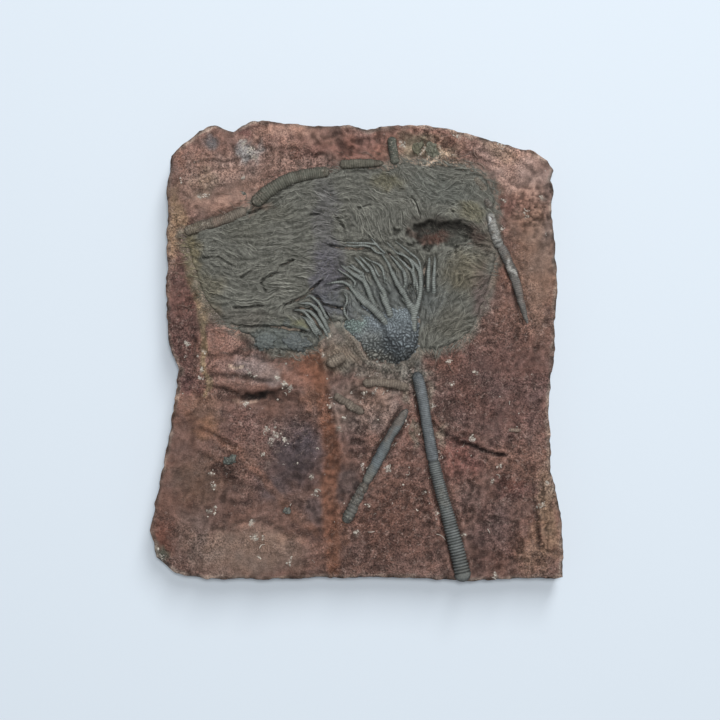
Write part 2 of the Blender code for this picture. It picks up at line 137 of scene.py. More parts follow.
# Breaks where the rock drops from the line's left-hand side to its right: points, drop, reach and
# softness of the edge
STEPS = [
    ([(98.5, -69), (91, -67.3), (81.3, -64), (71, -60.5), (57.5, -54.5)], -1.7, 11, 0.8),
    ([(-38, -20.5), (-50.5, -25.5), (-60, -28.5), (-69.5, -30.5), (-80, -27), (-97, -22)], -1.4, 7, 0.9),
    ([(-105, 20), (-104.5, 0), (-105, -10), (-106, -17), (-117, -26)], 1.3, 9, 1.0),
    ([(20, 124), (-8, 125.5), (-30, 130.5), (-50, 133.5), (-67, 136)], -2.2, 14, 2.6),
    ([(105, -108), (107, -120), (108.5, -128), (110.5, -140)], 1.6, 8, 0.7),
    ([(117, -76), (116, -92), (117.5, -106), (120, -114), (121, -126), (121, -140)], 1.5, 7, 0.8),
    ([(123, -80), (122, -90.5), (123, -103.5), (124, -116.5), (125, -135)], 1.6, 9, 0.9),
    ([(-105, -126), (-92, -117), (-74, -112.5), (-58, -112), (-46, -121), (-45, -138)], -1.2, 10, 1.2),
    ([(-88, 17), (-97, 15), (-98.5, 4), (-96, -2), (-82, -1), (-75.5, 4), (-76, 12), (-82, 17)],
     1.2, 7, 0.7),
    ([(91, 118), (101, 108), (112, 104), (122, 106)], -1.4, 9, 1.0),
    ([(90, 96), (105, 82), (119, 80), (126, 76)], -1.0, 9, 1.2),
    ([(-118, -24), (-109, -27), (-103.5, -33), (-108, -40), (-116, -44)], -0.9, 8, 0.8),
    ([(20, -30), (30, -52), (22, -66)], 0.9, 8, 1.2),
    ([(-8, -42), (-14, -60), (-10, -78)], 0.8, 8, 1.0),
    ([(74, -100), (84, -112), (82, -132)], 0.9, 9, 1.0),
]

# Areas rougher or smoother than the rest: x, y, half-width, half-length, change
# Rounded folds of the bedding: line, half-width, rise
ROLLS = [
    ([(-99, -6), (-86, -8), (-72, -10.5), (-56, -13.5), (-42, -17)], 6.5, 2.4),
    ([(-96, -17.5), (-79, -21.3), (-64, -23.8), (-48, -24)], 3.8, 2.0),
    ([(-36, -24), (-33, -32), (-30, -42)], 4.0, 1.3),
    ([(-100, -34), (-86, -36), (-70, -37)], 3.0, 1.0),
    ([(-30, -52), (-29, -80), (-27, -104)], 9.0, 0.9),
    ([(110, 20), (114, 12), (119, 0)], 2.6, 1.2),
    ([(-117, 101), (-98, 112), (-76, 114)], 5.0, 1.2),
    ([(-100, 92), (-84, 98), (-70, 106)], 4.5, 1.0),
    ([(76, 130), (90, 121), (104, 112)], 3.5, 1.2),
    ([(-108, -60), (-94, -66), (-80, -76)], 4.0, 1.2),
    ([(-64, -124), (-40, -128), (-24, -126)], 6.0, 0.9),
    ([(110, -106), (107.5, -116), (111, -127), (109, -138)], 4.2, 1.5),
    ([(122, -98), (120.5, -112), (122, -128)], 2.6, 1.3),
]
# Old stem seen as ribs in the rock: place, half-sizes, turn in degrees, rib spacing, rise
RIBS = (-8.5, -4.5, 13, 8, 35, 1.9, 0.8)

ROUGH_AREAS = [
    (15, -55, 60, 55, 0.45),
    (70, -115, 40, 30, 0.35),
    (30, 134, 44, 12, 0.5),
    (120, 96, 12, 30, 0.5),
    (105, 118, 22, 12, -0.45),
    (116, 54, 14, 30, -0.3),
    (-73, -132, 32, 13, -0.5),
    (-87, 6, 12, 9, -0.8),
    (-110, -32, 7, 7, -0.6),
    (-85, 108, 16, 10, -0.35),
    (-88, -60, 16, 9, -0.4),
]

# Pebbly and plated areas: x, y, half-width, half-length, pebble size, height
PEBBLES = [
    (36, -13, 8, 6, 2.2, 1.2),
    (-36, 123.5, 26, 4.5, 2.4, 1.3),
    (57, 119.5, 17, 6, 2.2, 1.4),
    (112, 93, 14, 11, 2.8, 1.2),
    (-48, 3.5, 23, 7.5, 2.6, 1.1),
    (122, -115, 7, 34, 2.2, 1.2),
    (52, 131, 16, 8, 3.2, 1.0),
    (33, -20, 20, 12, 2.2, 0.9),
    (12, -12, 26, 7, 2.0, 1.2),
    (-112, 20, 8, 30, 2.0, 0.7),
    (-62, 9, 11, 8, 2.2, 1.3),
    (-40, 7.5, 10, 7, 2.2, 1.3),
]

# Hollow in the crown: centre, half-sizes and depth
HOLLOW = (56.0, 78.5, 22.5, 9.0, 6.5)

# ---------------------------------------------------------------------------------------------
# Shape of the fossil
# ---------------------------------------------------------------------------------------------

LEFT_MAT_EDGE = [
    (-16, 17), (-25.5, 2.5), (-37, -2.5), (-50, -1), (-60, 3.5), (-69.5, 8.5), (-77.5, 13.5),
    (-88, 20), (-97, 28), (-103.5, 43), (-108.5, 58), (-112.5, 75), (-100, 80.5), (-92.5, 83),
    (-81.5, 86.5), (-72, 91.5), (-65, 97), (-57, 104), (-49.5, 108), (-43, 111.5), (-35.5, 113.5),
    (-27, 115), (-17, 116),
]
LEFT_JOINT = [(-17, 116), (-17, 98), (-16.5, 75.5), (-17, 56), (-16.5, 36), (-16, 17)]
TOP_MAT_EDGE = [
    (-17, 116), (-8, 118.5), (20, 118.5), (29, 123), (57, 121.5), (73.5, 119), (83, 114),
    (91, 101.5), (89.5, 88.5), (91, 71),
]
RIGHT_JOINT = [(91, 71), (73.5, 66.5), (55, 64.5), (45, 57), (43.5, 39.5), (40, 20)]
MAT_EDGE_UNDER_CALYX = [(40, 20), (33, 14), (8, 14), (-4, 18), (-16, 17)]
RIGHT_MAT_EDGE = [
    (91, 71), (92.5, 64.5), (89, 49.5), (84, 32), (78.5, 20), (73.5, 10.5), (63.5, 4),
    (52, -0.5), (41, 1), (37, 10), (40, 20),
]
CROWN_EDGE = LEFT_MAT_EDGE[:-1] + TOP_MAT_EDGE[:-1] + RIGHT_MAT_EDGE + MAT_EDGE_UNDER_CALYX[1:-1]
MATS = {
    "pinnules_left": LEFT_MAT_EDGE + LEFT_JOINT[1:-1],
    "pinnules_top": TOP_MAT_EDGE + RIGHT_JOINT[1:] + MAT_EDGE_UNDER_CALYX[1:-1] + LEFT_JOINT[:0:-1],
    "pinnules_right": RIGHT_MAT_EDGE + RIGHT_JOINT[-2:0:-1],
}
MAT_PROUD = 1.2

# Lines that the pinnules run along
FLOW_GUIDES = [
    [(-104, 69), (-93.5, 67.5)], [(-102, 60.5), (-89.5, 61), (-81, 56)],
    [(-86.5, 65.5), (-76.5, 60.5)], [(-73.5, 69), (-66.5, 64)], [(-64.5, 66), (-51.5, 68)],
    [(-51, 83), (-44.5, 78.5), (-38.5, 81)], [(-42, 87), (-24, 90)], [(-69, 54.5), (-58, 55.5)],
    [(-76.5, 47), (-68, 52)], [(-63, 45), (-54, 50.5)], [(-51, 54.5), (-40.5, 59)],
    [(-58, 44), (-38.5, 43.5)], [(-51, 39.5), (-38.5, 39.5)], [(-40, 48.5), (-29, 46.5)],
    [(-37, 53.5), (-26.5, 54)], [(-100.5, 40.5), (-96, 38), (-88, 36.5), (-85, 34.5)],
    [(-90, 43.5), (-77, 38.5)], [(-80.5, 33.5), (-72, 33), (-65, 34.5), (-60, 33), (-51, 38)],
    [(-82, 28), (-61, 29)], [(-48, 25), (-47, 30), (-38.5, 33), (-31, 37), (-21.5, 47)],
    [(-31, 37), (-25.5, 35), (-21.5, 30), (-11, 28)],
    [(-18, 11), (-21.5, 20), (-24.5, 25.5), (-30.5, 30.5), (-37.5, 31)],
    [(-82.5, 16), (-31, 12.5)], [(-31, 89.5), (-23, 90)], [(-15.5, 90), (-8, 91.5)],
    [(-3, 96), (2.5, 87), (4.5, 79), (11, 72)], [(0, 97), (3.5, 93.5), (6, 87)],
    [(13.5, 95.5), (17.5, 91.5)], [(13, 84.5), (16, 73), (19, 70)],
    [(21, 86.5), (21.5, 77.5), (26, 72)], [(28.5, 91.5), (28.5, 77.5)],
    [(30.5, 100.5), (35, 99), (40, 89.5)], [(9.5, 106), (14, 102.5), (20, 101.5)],
    [(-17.5, 72), (-8, 70), (8, 70), (13.5, 69.5)], [(-34.5, 60.5), (-25.5, 61)],
    [(-37, 55), (-26.5, 55)], [(-37, 49), (-29.5, 46.5)],
    [(17, 22), (8, 29), (-2, 39.5), (-8.5, 45)], [(10, 31), (5, 45), (-4, 50.5), (-10.5, 56)],
    [(17, 38.5), (12, 46.5), (6.5, 56.5), (0.5, 62)], [(33.5, 30), (25, 46), (19, 62.5), (16, 64)],
    [(41.5, 47.5), (37, 57.5), (28, 63.5), (25, 65.5)], [(46.5, 41), (46.5, 52.5), (47, 61)],
    [(50, 41), (50, 52.5), (50.5, 61)], [(54, 33), (62, 52.5), (68, 64.5)],
    [(58, 20), (68, 33), (80, 43)], [(54, 10.5), (63.5, 19), (73.5, 25.5)],
    [(60.5, 59), (73.5, 58), (85, 54)], [(-108.5, 58), (-99, 51.5)],
    [(-110, 72), (-102, 75), (-92.5, 77.5)], [(-76, 85), (-62, 90.5), (-47, 97), (-30.5, 101.5)],
    [(-62, 95), (-43.5, 103.5), (-24, 108.5), (-11, 109)], [(-30.5, 75.5), (-21, 80), (-11, 81)],
    [(-76, 75.5), (-62, 74), (-50, 72)], [(-17.5, 101.5), (-8, 104.5), (2, 106)],
    [(47.5, 111), (57, 108), (67, 110)], [(54, 98), (63.5, 93.5), (73.5, 88.5)],
    [(80, 104.5), (84, 95), (88, 82)], [(47.5, 88.5), (54, 95), (63.5, 98)],
]

# Gaps between bundles of pinnules, carved into the bed and darkened there with painted shade
CROWN_GAPS = [
    [(-102, 60.5), (-90, 61), (-81.5, 56)], [(-76.5, 47), (-68, 52)], [(-63, 45), (-54, 50.5)],
    [(-51, 54.5), (-40.5, 59)], [(-63, 45), (-59, 38.5)], [(-82, 28), (-71.5, 28.5), (-61, 29.5)],
    [(-82.5, 16), (-72, 16), (-58, 16), (-43.5, 14.5), (-31.5, 12.5)],
    [(-48, 25), (-47, 30), (-38.5, 33), (-31.5, 37), (-21.5, 47)],
    [(-31.5, 37), (-25.5, 35), (-21.5, 30), (-11, 28)],
    [(-22.5, 69.5), (-10.5, 66.5), (-1, 66), (10.5, 64.5)], [(-1.5, 92), (3, 93.5), (10, 95.5)],
    [(35, 99), (38.5, 94), (40.5, 89)], [(63.5, 67.5), (73.5, 70), (86.5, 67)],
    [(-15.5, 89), (-11, 84), (-7, 76.5)], [(26.5, 64.5), (30.5, 58.5), (36, 52.5)],
    [(-31.5, 88.5), (-23, 89)],
    [(-21, 30), (-17.5, 29), (-12.5, 28), (-9.5, 27.5), (-7, 26)],
    [(-21, 24), (-17.5, 20.5), (-12.5, 16), (-7, 12), (-2.5, 9.5), (2, 6)],
    [(0.5, 32), (3, 29.5), (6.5, 27.5), (10, 24.5), (14, 22), (16, 19.5)],
    [(-47.5, 30.5), (-44, 31.5), (-41.5, 33), (-38.5, 33), (-35.5, 35), (-32, 37), (-28.5, 36.5),
     (-25, 34), (-22.5, 31.5), (-20, 30)],
    [(-32, 37), (-29, 40.5), (-24.5, 44.5), (-21, 46.5)],
    [(-13.5, 46), (-8.5, 47), (-4, 46.5)],
    [(-16.5, 39), (-13, 40), (-8.5, 41), (-3.5, 40)],
    [(-26.5, 30.5), (-23, 27), (-18.5, 22), (-16, 19.5)],
    [(-39.5, 28), (-36, 27.5), (-33, 26.5), (-30, 27.5), (-27.5, 26), (-24.5, 23)],
    [(-32, 26.5), (-29, 22), (-26.5, 18.5), (-23.5, 15), (-20.5, 11.5), (-18.5, 7)],
    [(-41, 25), (-38.5, 24.5), (-35.5, 23.5), (-32.5, 21), (-29.5, 17), (-27, 12.5), (-25, 9),
     (-24.5, 6.5)],
    [(-56.5, 15.5), (-52, 15), (-48, 15.5), (-44, 13.5), (-39, 13.5), (-35, 12.5), (-31, 11.5)],
    [(-51, 54.5), (-47.5, 56.5), (-44, 58.5), (-40, 59)],
    [(-56.5, 48.5), (-54, 50), (-50.5, 51.5)],
    [(-18.5, 69.5), (-12.5, 67.5), (-6, 66.5), (-1.5, 66), (5, 67), (9, 66.5)],
    [(34, 100.5), (37.5, 97.5), (40.5, 91), (41.5, 86.5)],
    [(20, 64.5), (23, 61), (26.5, 57), (30, 52.5)],
    [(28.5, 37.5), (26.5, 42), (24.5, 47), (22, 52.5)],
    [(36, 36), (34, 40.5), (35, 44)],
    [(44, 39.5), (44, 46), (44, 52.5), (44, 58)],
    [(-71.5, 89), (-65.5, 91), (-62, 93)],
]

# Pinnules that stand out from the rest
LONG_PINNULES = [
    [(-58, 44), (-48, 43.5), (-38.5, 43.5)], [(-58, 42), (-48, 41.5), (-39, 41.5)],
    [(-51, 39.5), (-43.5, 39), (-38.5, 39.5)], [(-40, 48.5), (-34.5, 48), (-29, 46.5)],
    [(-37, 49), (-33, 48), (-29.5, 46.5)], [(-37, 53.5), (-32, 54), (-26.5, 54)],
    [(-34.5, 60.5), (-30, 61), (-25.5, 61)], [(-37, 55), (-32, 55.5), (-26.5, 55)],
    [(-100.5, 40.5), (-96, 38), (-91.5, 37.5), (-88, 36.5), (-85, 34.5)],
    [(-90, 43.5), (-84, 41.5), (-77, 38.5)],
    [(-80.5, 33.5), (-72, 33), (-65, 34.5), (-60, 33), (-51, 38)],
    [(-80.5, 32), (-72, 31), (-65, 32.5), (-60, 31), (-52.5, 35)],
    [(-3, 96), (0, 92.5), (2.5, 87), (4.5, 79), (11, 72)], [(6, 78.5), (8.5, 75), (12.5, 71.5)],
    [(0, 97), (3.5, 93.5), (6, 87), (9, 80)],
    [(-17.5, 72), (-8, 70), (0, 70), (8, 70), (13.5, 69.5)],
    [(-9, 68.5), (0, 67.5), (9.5, 68), (13.5, 65), (18, 62.5)],
    [(13, 84.5), (14.5, 78.5), (16.5, 73), (19, 70)], [(21, 86.5), (21.5, 77.5), (26, 72)],
    [(28.5, 91.5), (29, 85), (28.5, 77.5)], [(30.5, 100.5), (35, 99), (38.5, 94), (40, 89.5)],
    [(9.5, 106), (14, 102.5), (20, 101.5)], [(-15.5, 90), (-12.5, 90.5), (-8, 91.5)],
    [(-17.5, 87.5), (-13, 87.5), (-8, 88)], [(-28, 104), (-25.5, 101.5), (-19.5, 100)],
    [(-73.5, 69), (-70, 67), (-66.5, 64)], [(-71.5, 70), (-67.5, 67.5), (-64.5, 64.5)],
    [(-64.5, 66), (-58.5, 67.5), (-51.5, 68)], [(-86.5, 65.5), (-81, 63), (-76.5, 60.5)],
    [(-104, 69), (-99, 68), (-93.5, 67.5)], [(42.5, 53.5), (42.5, 46), (42.5, 37.5)],
    [(-69, 54.5), (-63.5, 55.5), (-58, 55.5)],
    [(-56.5, 44), (-52.5, 44.5), (-48.5, 44.5), (-41, 43.5)],
    [(-50.5, 38.5), (-46, 38.5), (-41.5, 39), (-36.5, 38)],
    [(-37, 48.5), (-33, 47.5), (-29, 46.5)],
    [(-56.5, 35), (-54, 37), (-52, 38.5)],
    [(34, 100), (36.5, 98), (38, 95.5), (39.5, 90), (41, 86.5)],
    [(26, 99), (28.5, 98.5), (30.5, 98)],
    [(-28, 104), (-24, 102), (-19.5, 100)],
    [(-18.5, 71), (-15, 70), (-11, 70)],
]

# Finer branches of the arms: x, y, radius
ARM_BRANCHES = [
    [(19.5, 16.9, 1.8), (14.3, 23.4, 2.7), (9.1, 28.6, 2.4), (3.9, 33.8, 1.9), (-2, 40.3, 1.5)],
    [(36.4, 17.5, 1.8), (37, 23, 2.4), (36.2, 28.2, 2.4), (33, 31.5, 2.0), (29.3, 34.5, 1.6)],
    [(37.5, 22, 1.8), (38.6, 28, 2.2), (40.5, 34, 1.8), (41.8, 39, 1.5)],
    [(22, 21, 1.8), (20.8, 26.3, 2.4), (18.2, 31.9, 2.1), (15, 39, 1.6)],
    [(8.5, 29.5, 1.2), (8.5, 34, 1.2), (8.5, 37.5, 1.1), (6.5, 42, 1.1), (5, 46.5, 1),
     (4, 49, 0.9), (1.5, 48.5, 0.8), (-2, 50, 0.75), (-5, 52.5, 0.7), (-8.5, 54.5, 0.6),
     (-10.5, 55.5, 0.5)],
    [(4, 49, 0.8), (0.5, 52, 0.7), (-2.5, 53.5, 0.7), (-5, 54.5, 0.6), (-7.5, 54.5, 0.5)],
    [(-2, 40.5, 1), (-1, 44.5, 0.9), (-3.5, 47.5, 0.85), (-6, 49, 0.8), (-9.5, 51, 0.6),
     (-12.5, 53, 0.5)],
    [(-2.5, 41, 1), (-6, 43, 0.95), (-9.5, 45, 0.85), (-15, 44.5, 0.7), (-20, 43.5, 0.5)],
    [(8.5, 51, 0.9), (6, 53, 0.85), (3, 56.5, 0.8), (0.5, 59.5, 0.7), (-2, 61, 0.6)],
    [(18, 44, 0.8), (18, 47.5, 0.8), (17, 51, 0.8), (16, 53.5, 0.8), (14, 56, 0.7),
     (11, 57.5, 0.7), (8.5, 58.5, 0.6), (5, 61, 0.5)],
    [(15.5, 48, 0.7), (14, 49, 0.7), (12, 52, 0.7), (11, 55, 0.6), (9, 57.5, 0.5)],
    [(30, 39.5, 1), (31.5, 43.5, 0.95), (32, 48, 0.9), (30.5, 51.5, 0.85), (28.5, 54.5, 0.8),
     (26, 58, 0.75), (24, 60.5, 0.7), (21.5, 62, 0.6)],
    [(39.5, 36, 1.1), (39.5, 39.5, 1.1), (39, 44, 1.05), (37.5, 48.5, 1), (36.5, 52, 0.95),
     (36.5, 55, 0.9), (34.5, 58.5, 0.85), (32, 61, 0.8), (28.5, 62.5, 0.75), (25.5, 64, 0.7),
     (23, 67, 0.6), (19.5, 70.5, 0.5)],
    [(35, 52, 0.8), (33, 54, 0.8), (30.5, 57, 0.7), (28.5, 58.5, 0.6), (26, 60.5, 0.5)],
    [(42.5, 44, 0.9), (42, 48.5, 0.9), (41.5, 53, 0.85), (41, 56.5, 0.8), (39.5, 59, 0.8),
     (37.5, 61.5, 0.75), (34.5, 63.5, 0.7), (32, 66, 0.65), (28.5, 68.5, 0.6), (25, 71.5, 0.5)],
    [(18, 62.5, 0.7), (12.5, 64, 0.7), (9, 67.5, 0.7), (5, 68.5, 0.7), (0.5, 68.5, 0.65),
     (-4, 68, 0.6), (-7.5, 69, 0.5)],
    [(14.5, 69, 0.6), (10.5, 69.5, 0.65), (7, 70, 0.65), (2.5, 70, 0.6), (-2.5, 70, 0.6),
     (-7.5, 70.5, 0.5)],
    [(19, 63, 0.7), (15, 66.5, 0.7), (12.5, 69.5, 0.6), (9, 73.5, 0.5)],
    [(-18, 11, 1.25), (-19, 14.5, 1.25), (-21, 18.5, 1.2), (-23.5, 23, 1.15), (-25.5, 26.5, 1.1),
     (-28.5, 29.5, 1), (-31, 30.5, 0.9), (-34, 29, 0.6)],
    [(-18.5, 20, 1.2), (-20.5, 23.5, 1.2), (-23, 28, 1.1), (-25, 31.5, 1), (-28.5, 34.5, 0.95),
     (-31, 36, 0.8), (-34, 34, 0.6)],
    [(-18.5, 8.5, 1.1), (-20.5, 13, 1.1), (-22.5, 16, 1.05), (-24.5, 19, 1), (-26.5, 22, 0.95),
     (-28.5, 24.5, 0.9), (-30, 26.5, 0.8)],
    [(-23.5, 9.5, 1), (-24.5, 12, 1.1), (-27, 15.5, 1.1), (-28.5, 18.5, 1.05), (-31, 22, 1),
     (-33.5, 25, 0.95), (-37, 26.5, 0.8), (-40.5, 26.5, 0.6)],
    [(-25.5, 9, 0.8), (-28.5, 13.5, 0.85), (-31, 17.5, 0.8), (-34, 21, 0.7), (-36.5, 22.5, 0.6)],
    [(-8.5, 27.5, 0.8), (-6, 32, 0.8), (-6.5, 35, 0.7), (-9, 37.5, 0.5)],
    [(-4.5, 19, 1), (-7.5, 24, 0.9), (-8.5, 28, 0.8), (-7, 31, 0.7)],
    [(37.5, 12, 1.5), (37.2, 16, 1.9), (37, 20, 2.2), (36.8, 26, 2.3)],
]

# Every stem: how far its middle stands over the rock as a share of its radius, the distance from
# ring to ring at its two ends, its fullness against the plain solid, its colour from 0 to 255, and
# its route of (x, y, radius)
STEMS = {
    "stem_upper": (0.35, (1.15, 1.3), 1.2, (112, 117, 120), [
        (38.8, -15.5, 3.0), (40.3, -20, 3.2), (43.5, -35, 3.2), (45.5, -48, 3.25), (49.3, -69.5, 3.3),
        (49.7, -71.3, 3.3),
    ]),
    "stem_lower": (0.35, (1.35, 2.05), 1.18, (112, 116, 115), [
        (49.8, -71.8, 3.3), (52.5, -83, 3.4), (59, -107, 3.8), (66, -133, 4.4), (69, -146.3, 4.7),
    ]),
    "loose_stem_left": (0.1, (1.4, 1.4), 1.25, (116, 108, 98), [
        (-112, 77.5, 2.6), (-100, 81.5, 2.9), (-92.5, 83.5, 2.9), (-81.5, 87, 2.9),
        (-72.5, 91.5, 2.6),
    ]),
    "loose_stem_upper_left": (0.25, (1.7, 1.3), 1.14, (98, 98, 89), [
        (-66.5, 96, 4.0), (-58, 103.5, 4.2), (-50, 108.5, 4.0), (-43, 112, 3.8),
        (-35.5, 114, 3.6), (-27, 115.5, 3.4), (-18.5, 116.3, 3.1),
    ]),
    "loose_stem_top": (0.2, (1.5, 1.5), 1.4, (100, 98, 88), [
        (-11, 121, 2.2), (-1.5, 121.5, 2.2), (8.5, 122, 2.1), (17.3, 122.2, 1.4),
    ]),
    "stem_stub_top": (0.1, (1.5, 1.5), 1.35, (92, 94, 86), [
        (22.5, 139, 2.4), (23.5, 130.5, 2.4), (25, 121.5, 2.2),
    ]),
    "loose_stem_right_top": (0.0, (1.6, 1.6), 1.3, (118, 112, 102), [
        (76.5, 113, 1.8), (80.5, 108, 2.0), (84.3, 103.8, 1.9),
    ]),
    "loose_stem_right_bend": (0.1, (1.6, 1.6), 1.25, (116, 112, 106), [
        (83, 99.3, 1.9), (85.5, 95.5, 2.1), (87.3, 92.6, 2.1),
    ]),
    "loose_stem_right_bright": (0.3, (2.0, 2.0), 1.15, (142, 142, 138), [
        (86.4, 89.5, 2.4), (88.5, 80, 3.0), (91.6, 70.2, 3.0), (93, 67.4, 2.9),
    ]),
    "loose_stem_right_long": (0.25, (1.3, 1.3), 1.15, (112, 108, 104), [
        (93.3, 68, 2.9), (95.5, 64.5, 2.8), (100, 54, 2.8), (104, 43, 2.6), (106.5, 33, 2.2),
        (109, 23.5, 1.5), (111.5, 17, 0.6),
    ]),
    "second_stem": (0.15, (1.2, 1.4), 1.28, (106, 110, 110), [
        (32.6, -38, 0.8), (31, -41, 2.2), (26.5, -48, 2.6), (20.5, -57.5, 2.7), (15, -68.5, 2.7),
        (9, -79.5, 2.6), (5.6, -86, 2.4),
    ]),
    "second_stem_foot": (0.1, (2.4, 2.6), 1.2, (100, 99, 95), [
        (6, -85.5, 2.3), (-1, -99, 3.0), (-4.5, -106, 3.3), (-8, -111.5, 2.4),
    ]),
    "ribbed_stem_by_calyx": (0.0, (1.9, 1.9), 1.35, (128, 117, 105), [
        (-18.5, -9, 2.8), (-13, -6, 3.0), (-8.3, -3.2, 2.7),
    ]),
    "ribbed_stem_across": (-0.1, (1.6, 1.6), 1.25, (124, 113, 102), [
        (4, -21, 2.3), (16.5, -20.5, 2.6), (25, -21.5, 2.6), (34, -24.5, 2.3),
    ]),
    "loose_stem_oblique": (0.0, (1.8, 1.8), 1.35, (116, 106, 96), [
        (-15, -28.5, 2.0), (-4.5, -35.5, 2.3), (4, -40.5, 1.9),
    ]),
    "loose_stem_small": (0.0, (1.4, 1.4), 0.9, (140, 122, 110), [
        (97.5, -51.5, 1.6), (103, -51.8, 1.7), (108.5, -52, 1.4),
    ]),
}
# How deep the grooves between rings are, as a share of the usual depth
RING_SHARE = {
    "stem_upper": 0.85, "stem_lower": 1.3, "second_stem": 0.6, "second_stem_foot": 0.9,
    "loose_stem_right_bright": 0.6, "loose_stem_right_long": 0.8,
}
CLEAN_STEMS = ("stem_upper", "stem_lower", "second_stem", "loose_stem_right_long")
STEM_PATCHES = [
    (87.2, 83, 1.5, 4.5, 10, srgb(212, 214, 214), 0.8),
    (90.5, 73, 1.2, 2.5, 10, srgb(190, 190, 186), 0.7),
    (86.5, 76, 1.6, 6, 10, srgb(112, 112, 108), 0.6),
    # The next row is painted shade at the break between the two right stem pieces.
    (91.5, 68, 3.2, 1.2, 10, srgb(58, 56, 54), 0.8),
    (101.5, 52, 1.5, 7.0, 22, srgb(204, 202, 196), 0.7),
    (107.5, 32, 1.3, 4.0, 12, srgb(196, 190, 182), 0.6),
    (97.5, 60, 3.0, 4.0, 20, srgb(112, 100, 90), 0.5),
    (105.5, 38, 3.0, 4.0, 15, srgb(124, 100, 88), 0.5),
    (28.5, -44, 5, 8, -30, srgb(116, 106, 98), 0.75),
    (14, -68, 5, 9, -30, srgb(100, 110, 116), 0.5),
    (23, -55, 2, 5, -30, srgb(118, 108, 100), 0.6),
    (8, -80, 4, 5, -30, srgb(122, 120, 110), 0.6),
    (5.5, -86, 4, 3, -30, srgb(96, 88, 82), 0.6),
    (-6.5, -108, 5, 4, -30, srgb(122, 128, 122), 0.5),
    (-105, 79.5, 9, 4, 20, srgb(112, 104, 88), 0.5),
    (-88, 85.5, 5, 4, 20, srgb(132, 112, 100), 0.5),
    (-64, 98, 6, 5, 50, srgb(104, 98, 88), 0.4),
    (-50, 109, 12, 6, 30, srgb(108, 108, 98), 0.4),
    (-22, 116, 7, 4, 0, srgb(96, 96, 86), 0.5),
    (-9, 121.5, 4, 3, 0, srgb(122, 116, 104), 0.5),
    (15, 122, 4, 3, 0, srgb(84, 76, 68), 0.6),
    (55, -95, 3, 8, 15, srgb(128, 124, 114), 0.35),
    (38, -14, 6, 6, 0, srgb(84, 90, 94), 0.5),
    (68.5, -143, 6, 7, 15, srgb(92, 92, 86), 0.5),
]
ARMS = {
    "arm_left_upper": [
        (-18, 11.5, 1.3), (-21.5, 20, 1.3), (-24.5, 25.5, 1.2), (-27.5, 29, 1.1),
        (-31, 30.7, 1.0), (-37.5, 31, 0.7),
    ],
    "arm_left_middle": [
        (-21.7, 13.8, 1.2), (-25, 20, 1.2), (-27.8, 23.5, 1.1), (-30.8, 26, 1.0), (-35, 26.3, 0.9),
        (-39.5, 26.5, 0.6),
    ],
    "arm_left_lower": [
        (-25.5, 10, 1.2), (-28, 15.5, 1.2), (-30.8, 19.3, 1.1), (-34, 22.3, 0.7),
    ],
    "arm_a_trunk": [
        (17, 22, 1.9), (8, 28.5, 1.9), (1.5, 34, 1.7), (-2, 39, 1.4), (-5, 42, 1.1), (-8.5, 45, 0.7),
    ],
    "arm_a_fork": [
        (12.5, 27, 1.8), (10, 32, 1.8), (7, 40.5, 1.6), (4.5, 45, 1.4), (0, 48, 1.2),
        (-4, 50.5, 1.0), (-10, 55, 0.7),
    ],
    "arm_a_twig": [(5, 49.2, 1.0), (1, 52, 1.0), (-2.5, 54.8, 0.9), (-5, 57, 0.6)],
    "arm_b_trunk": [
        (20, 30, 1.8), (17.3, 38, 1.7), (14.5, 43, 1.5), (11.8, 47, 1.3), (9.5, 53, 1.2),
        (6.5, 56.5, 1.0), (1, 62, 0.7),
    ],
    "arm_b_twig": [(7.5, 50.5, 0.9), (4.7, 54, 0.9), (1.6, 57.3, 0.8), (-1.5, 60, 0.6)],
    "arm_b_side": [(17.8, 46.5, 1.2), (17, 52, 1.1), (15, 55.5, 0.9), (11.5, 58, 0.7)],
    "arm_c_trunk": [
        (36.5, 25.5, 2.3), (33.5, 30.5, 2.3), (30.3, 37.5, 2.1), (26.5, 43.5, 1.8), (23, 50.5, 1.4),
        (20.5, 57, 1.2), (16, 63.5, 0.8),
    ],
    "arm_c_inner": [
        (31.5, 41.5, 1.3), (31.7, 47.5, 1.3), (30, 52, 1.2), (27, 56, 1.1), (21, 62.5, 0.7),
    ],
    "arm_c_middle": [
        (37.7, 40, 1.2), (37.5, 47, 1.2), (35.5, 52, 1.2), (32, 55, 1.0), (25.5, 61.5, 0.7),
    ],
    "arm_c_outer": [
        (38.5, 29, 1.8), (41, 36, 1.6), (41.7, 43, 1.4), (41.3, 50, 1.3), (38, 56.5, 1.2),
        (33.5, 60, 1.0), (27.5, 64.5, 0.7),
    ],
    "arm_d_inner": [(46.5, 38, 1.4), (46.4, 45, 1.4), (46.5, 51, 1.3), (47, 60.5, 1.0)],
    "arm_d_outer": [(50.2, 37, 1.4), (50, 45, 1.4), (50.2, 52, 1.3), (50.7, 61, 1.0)],
}
ARM_LIFT = 0.3
ARM_PITCH = 1.7

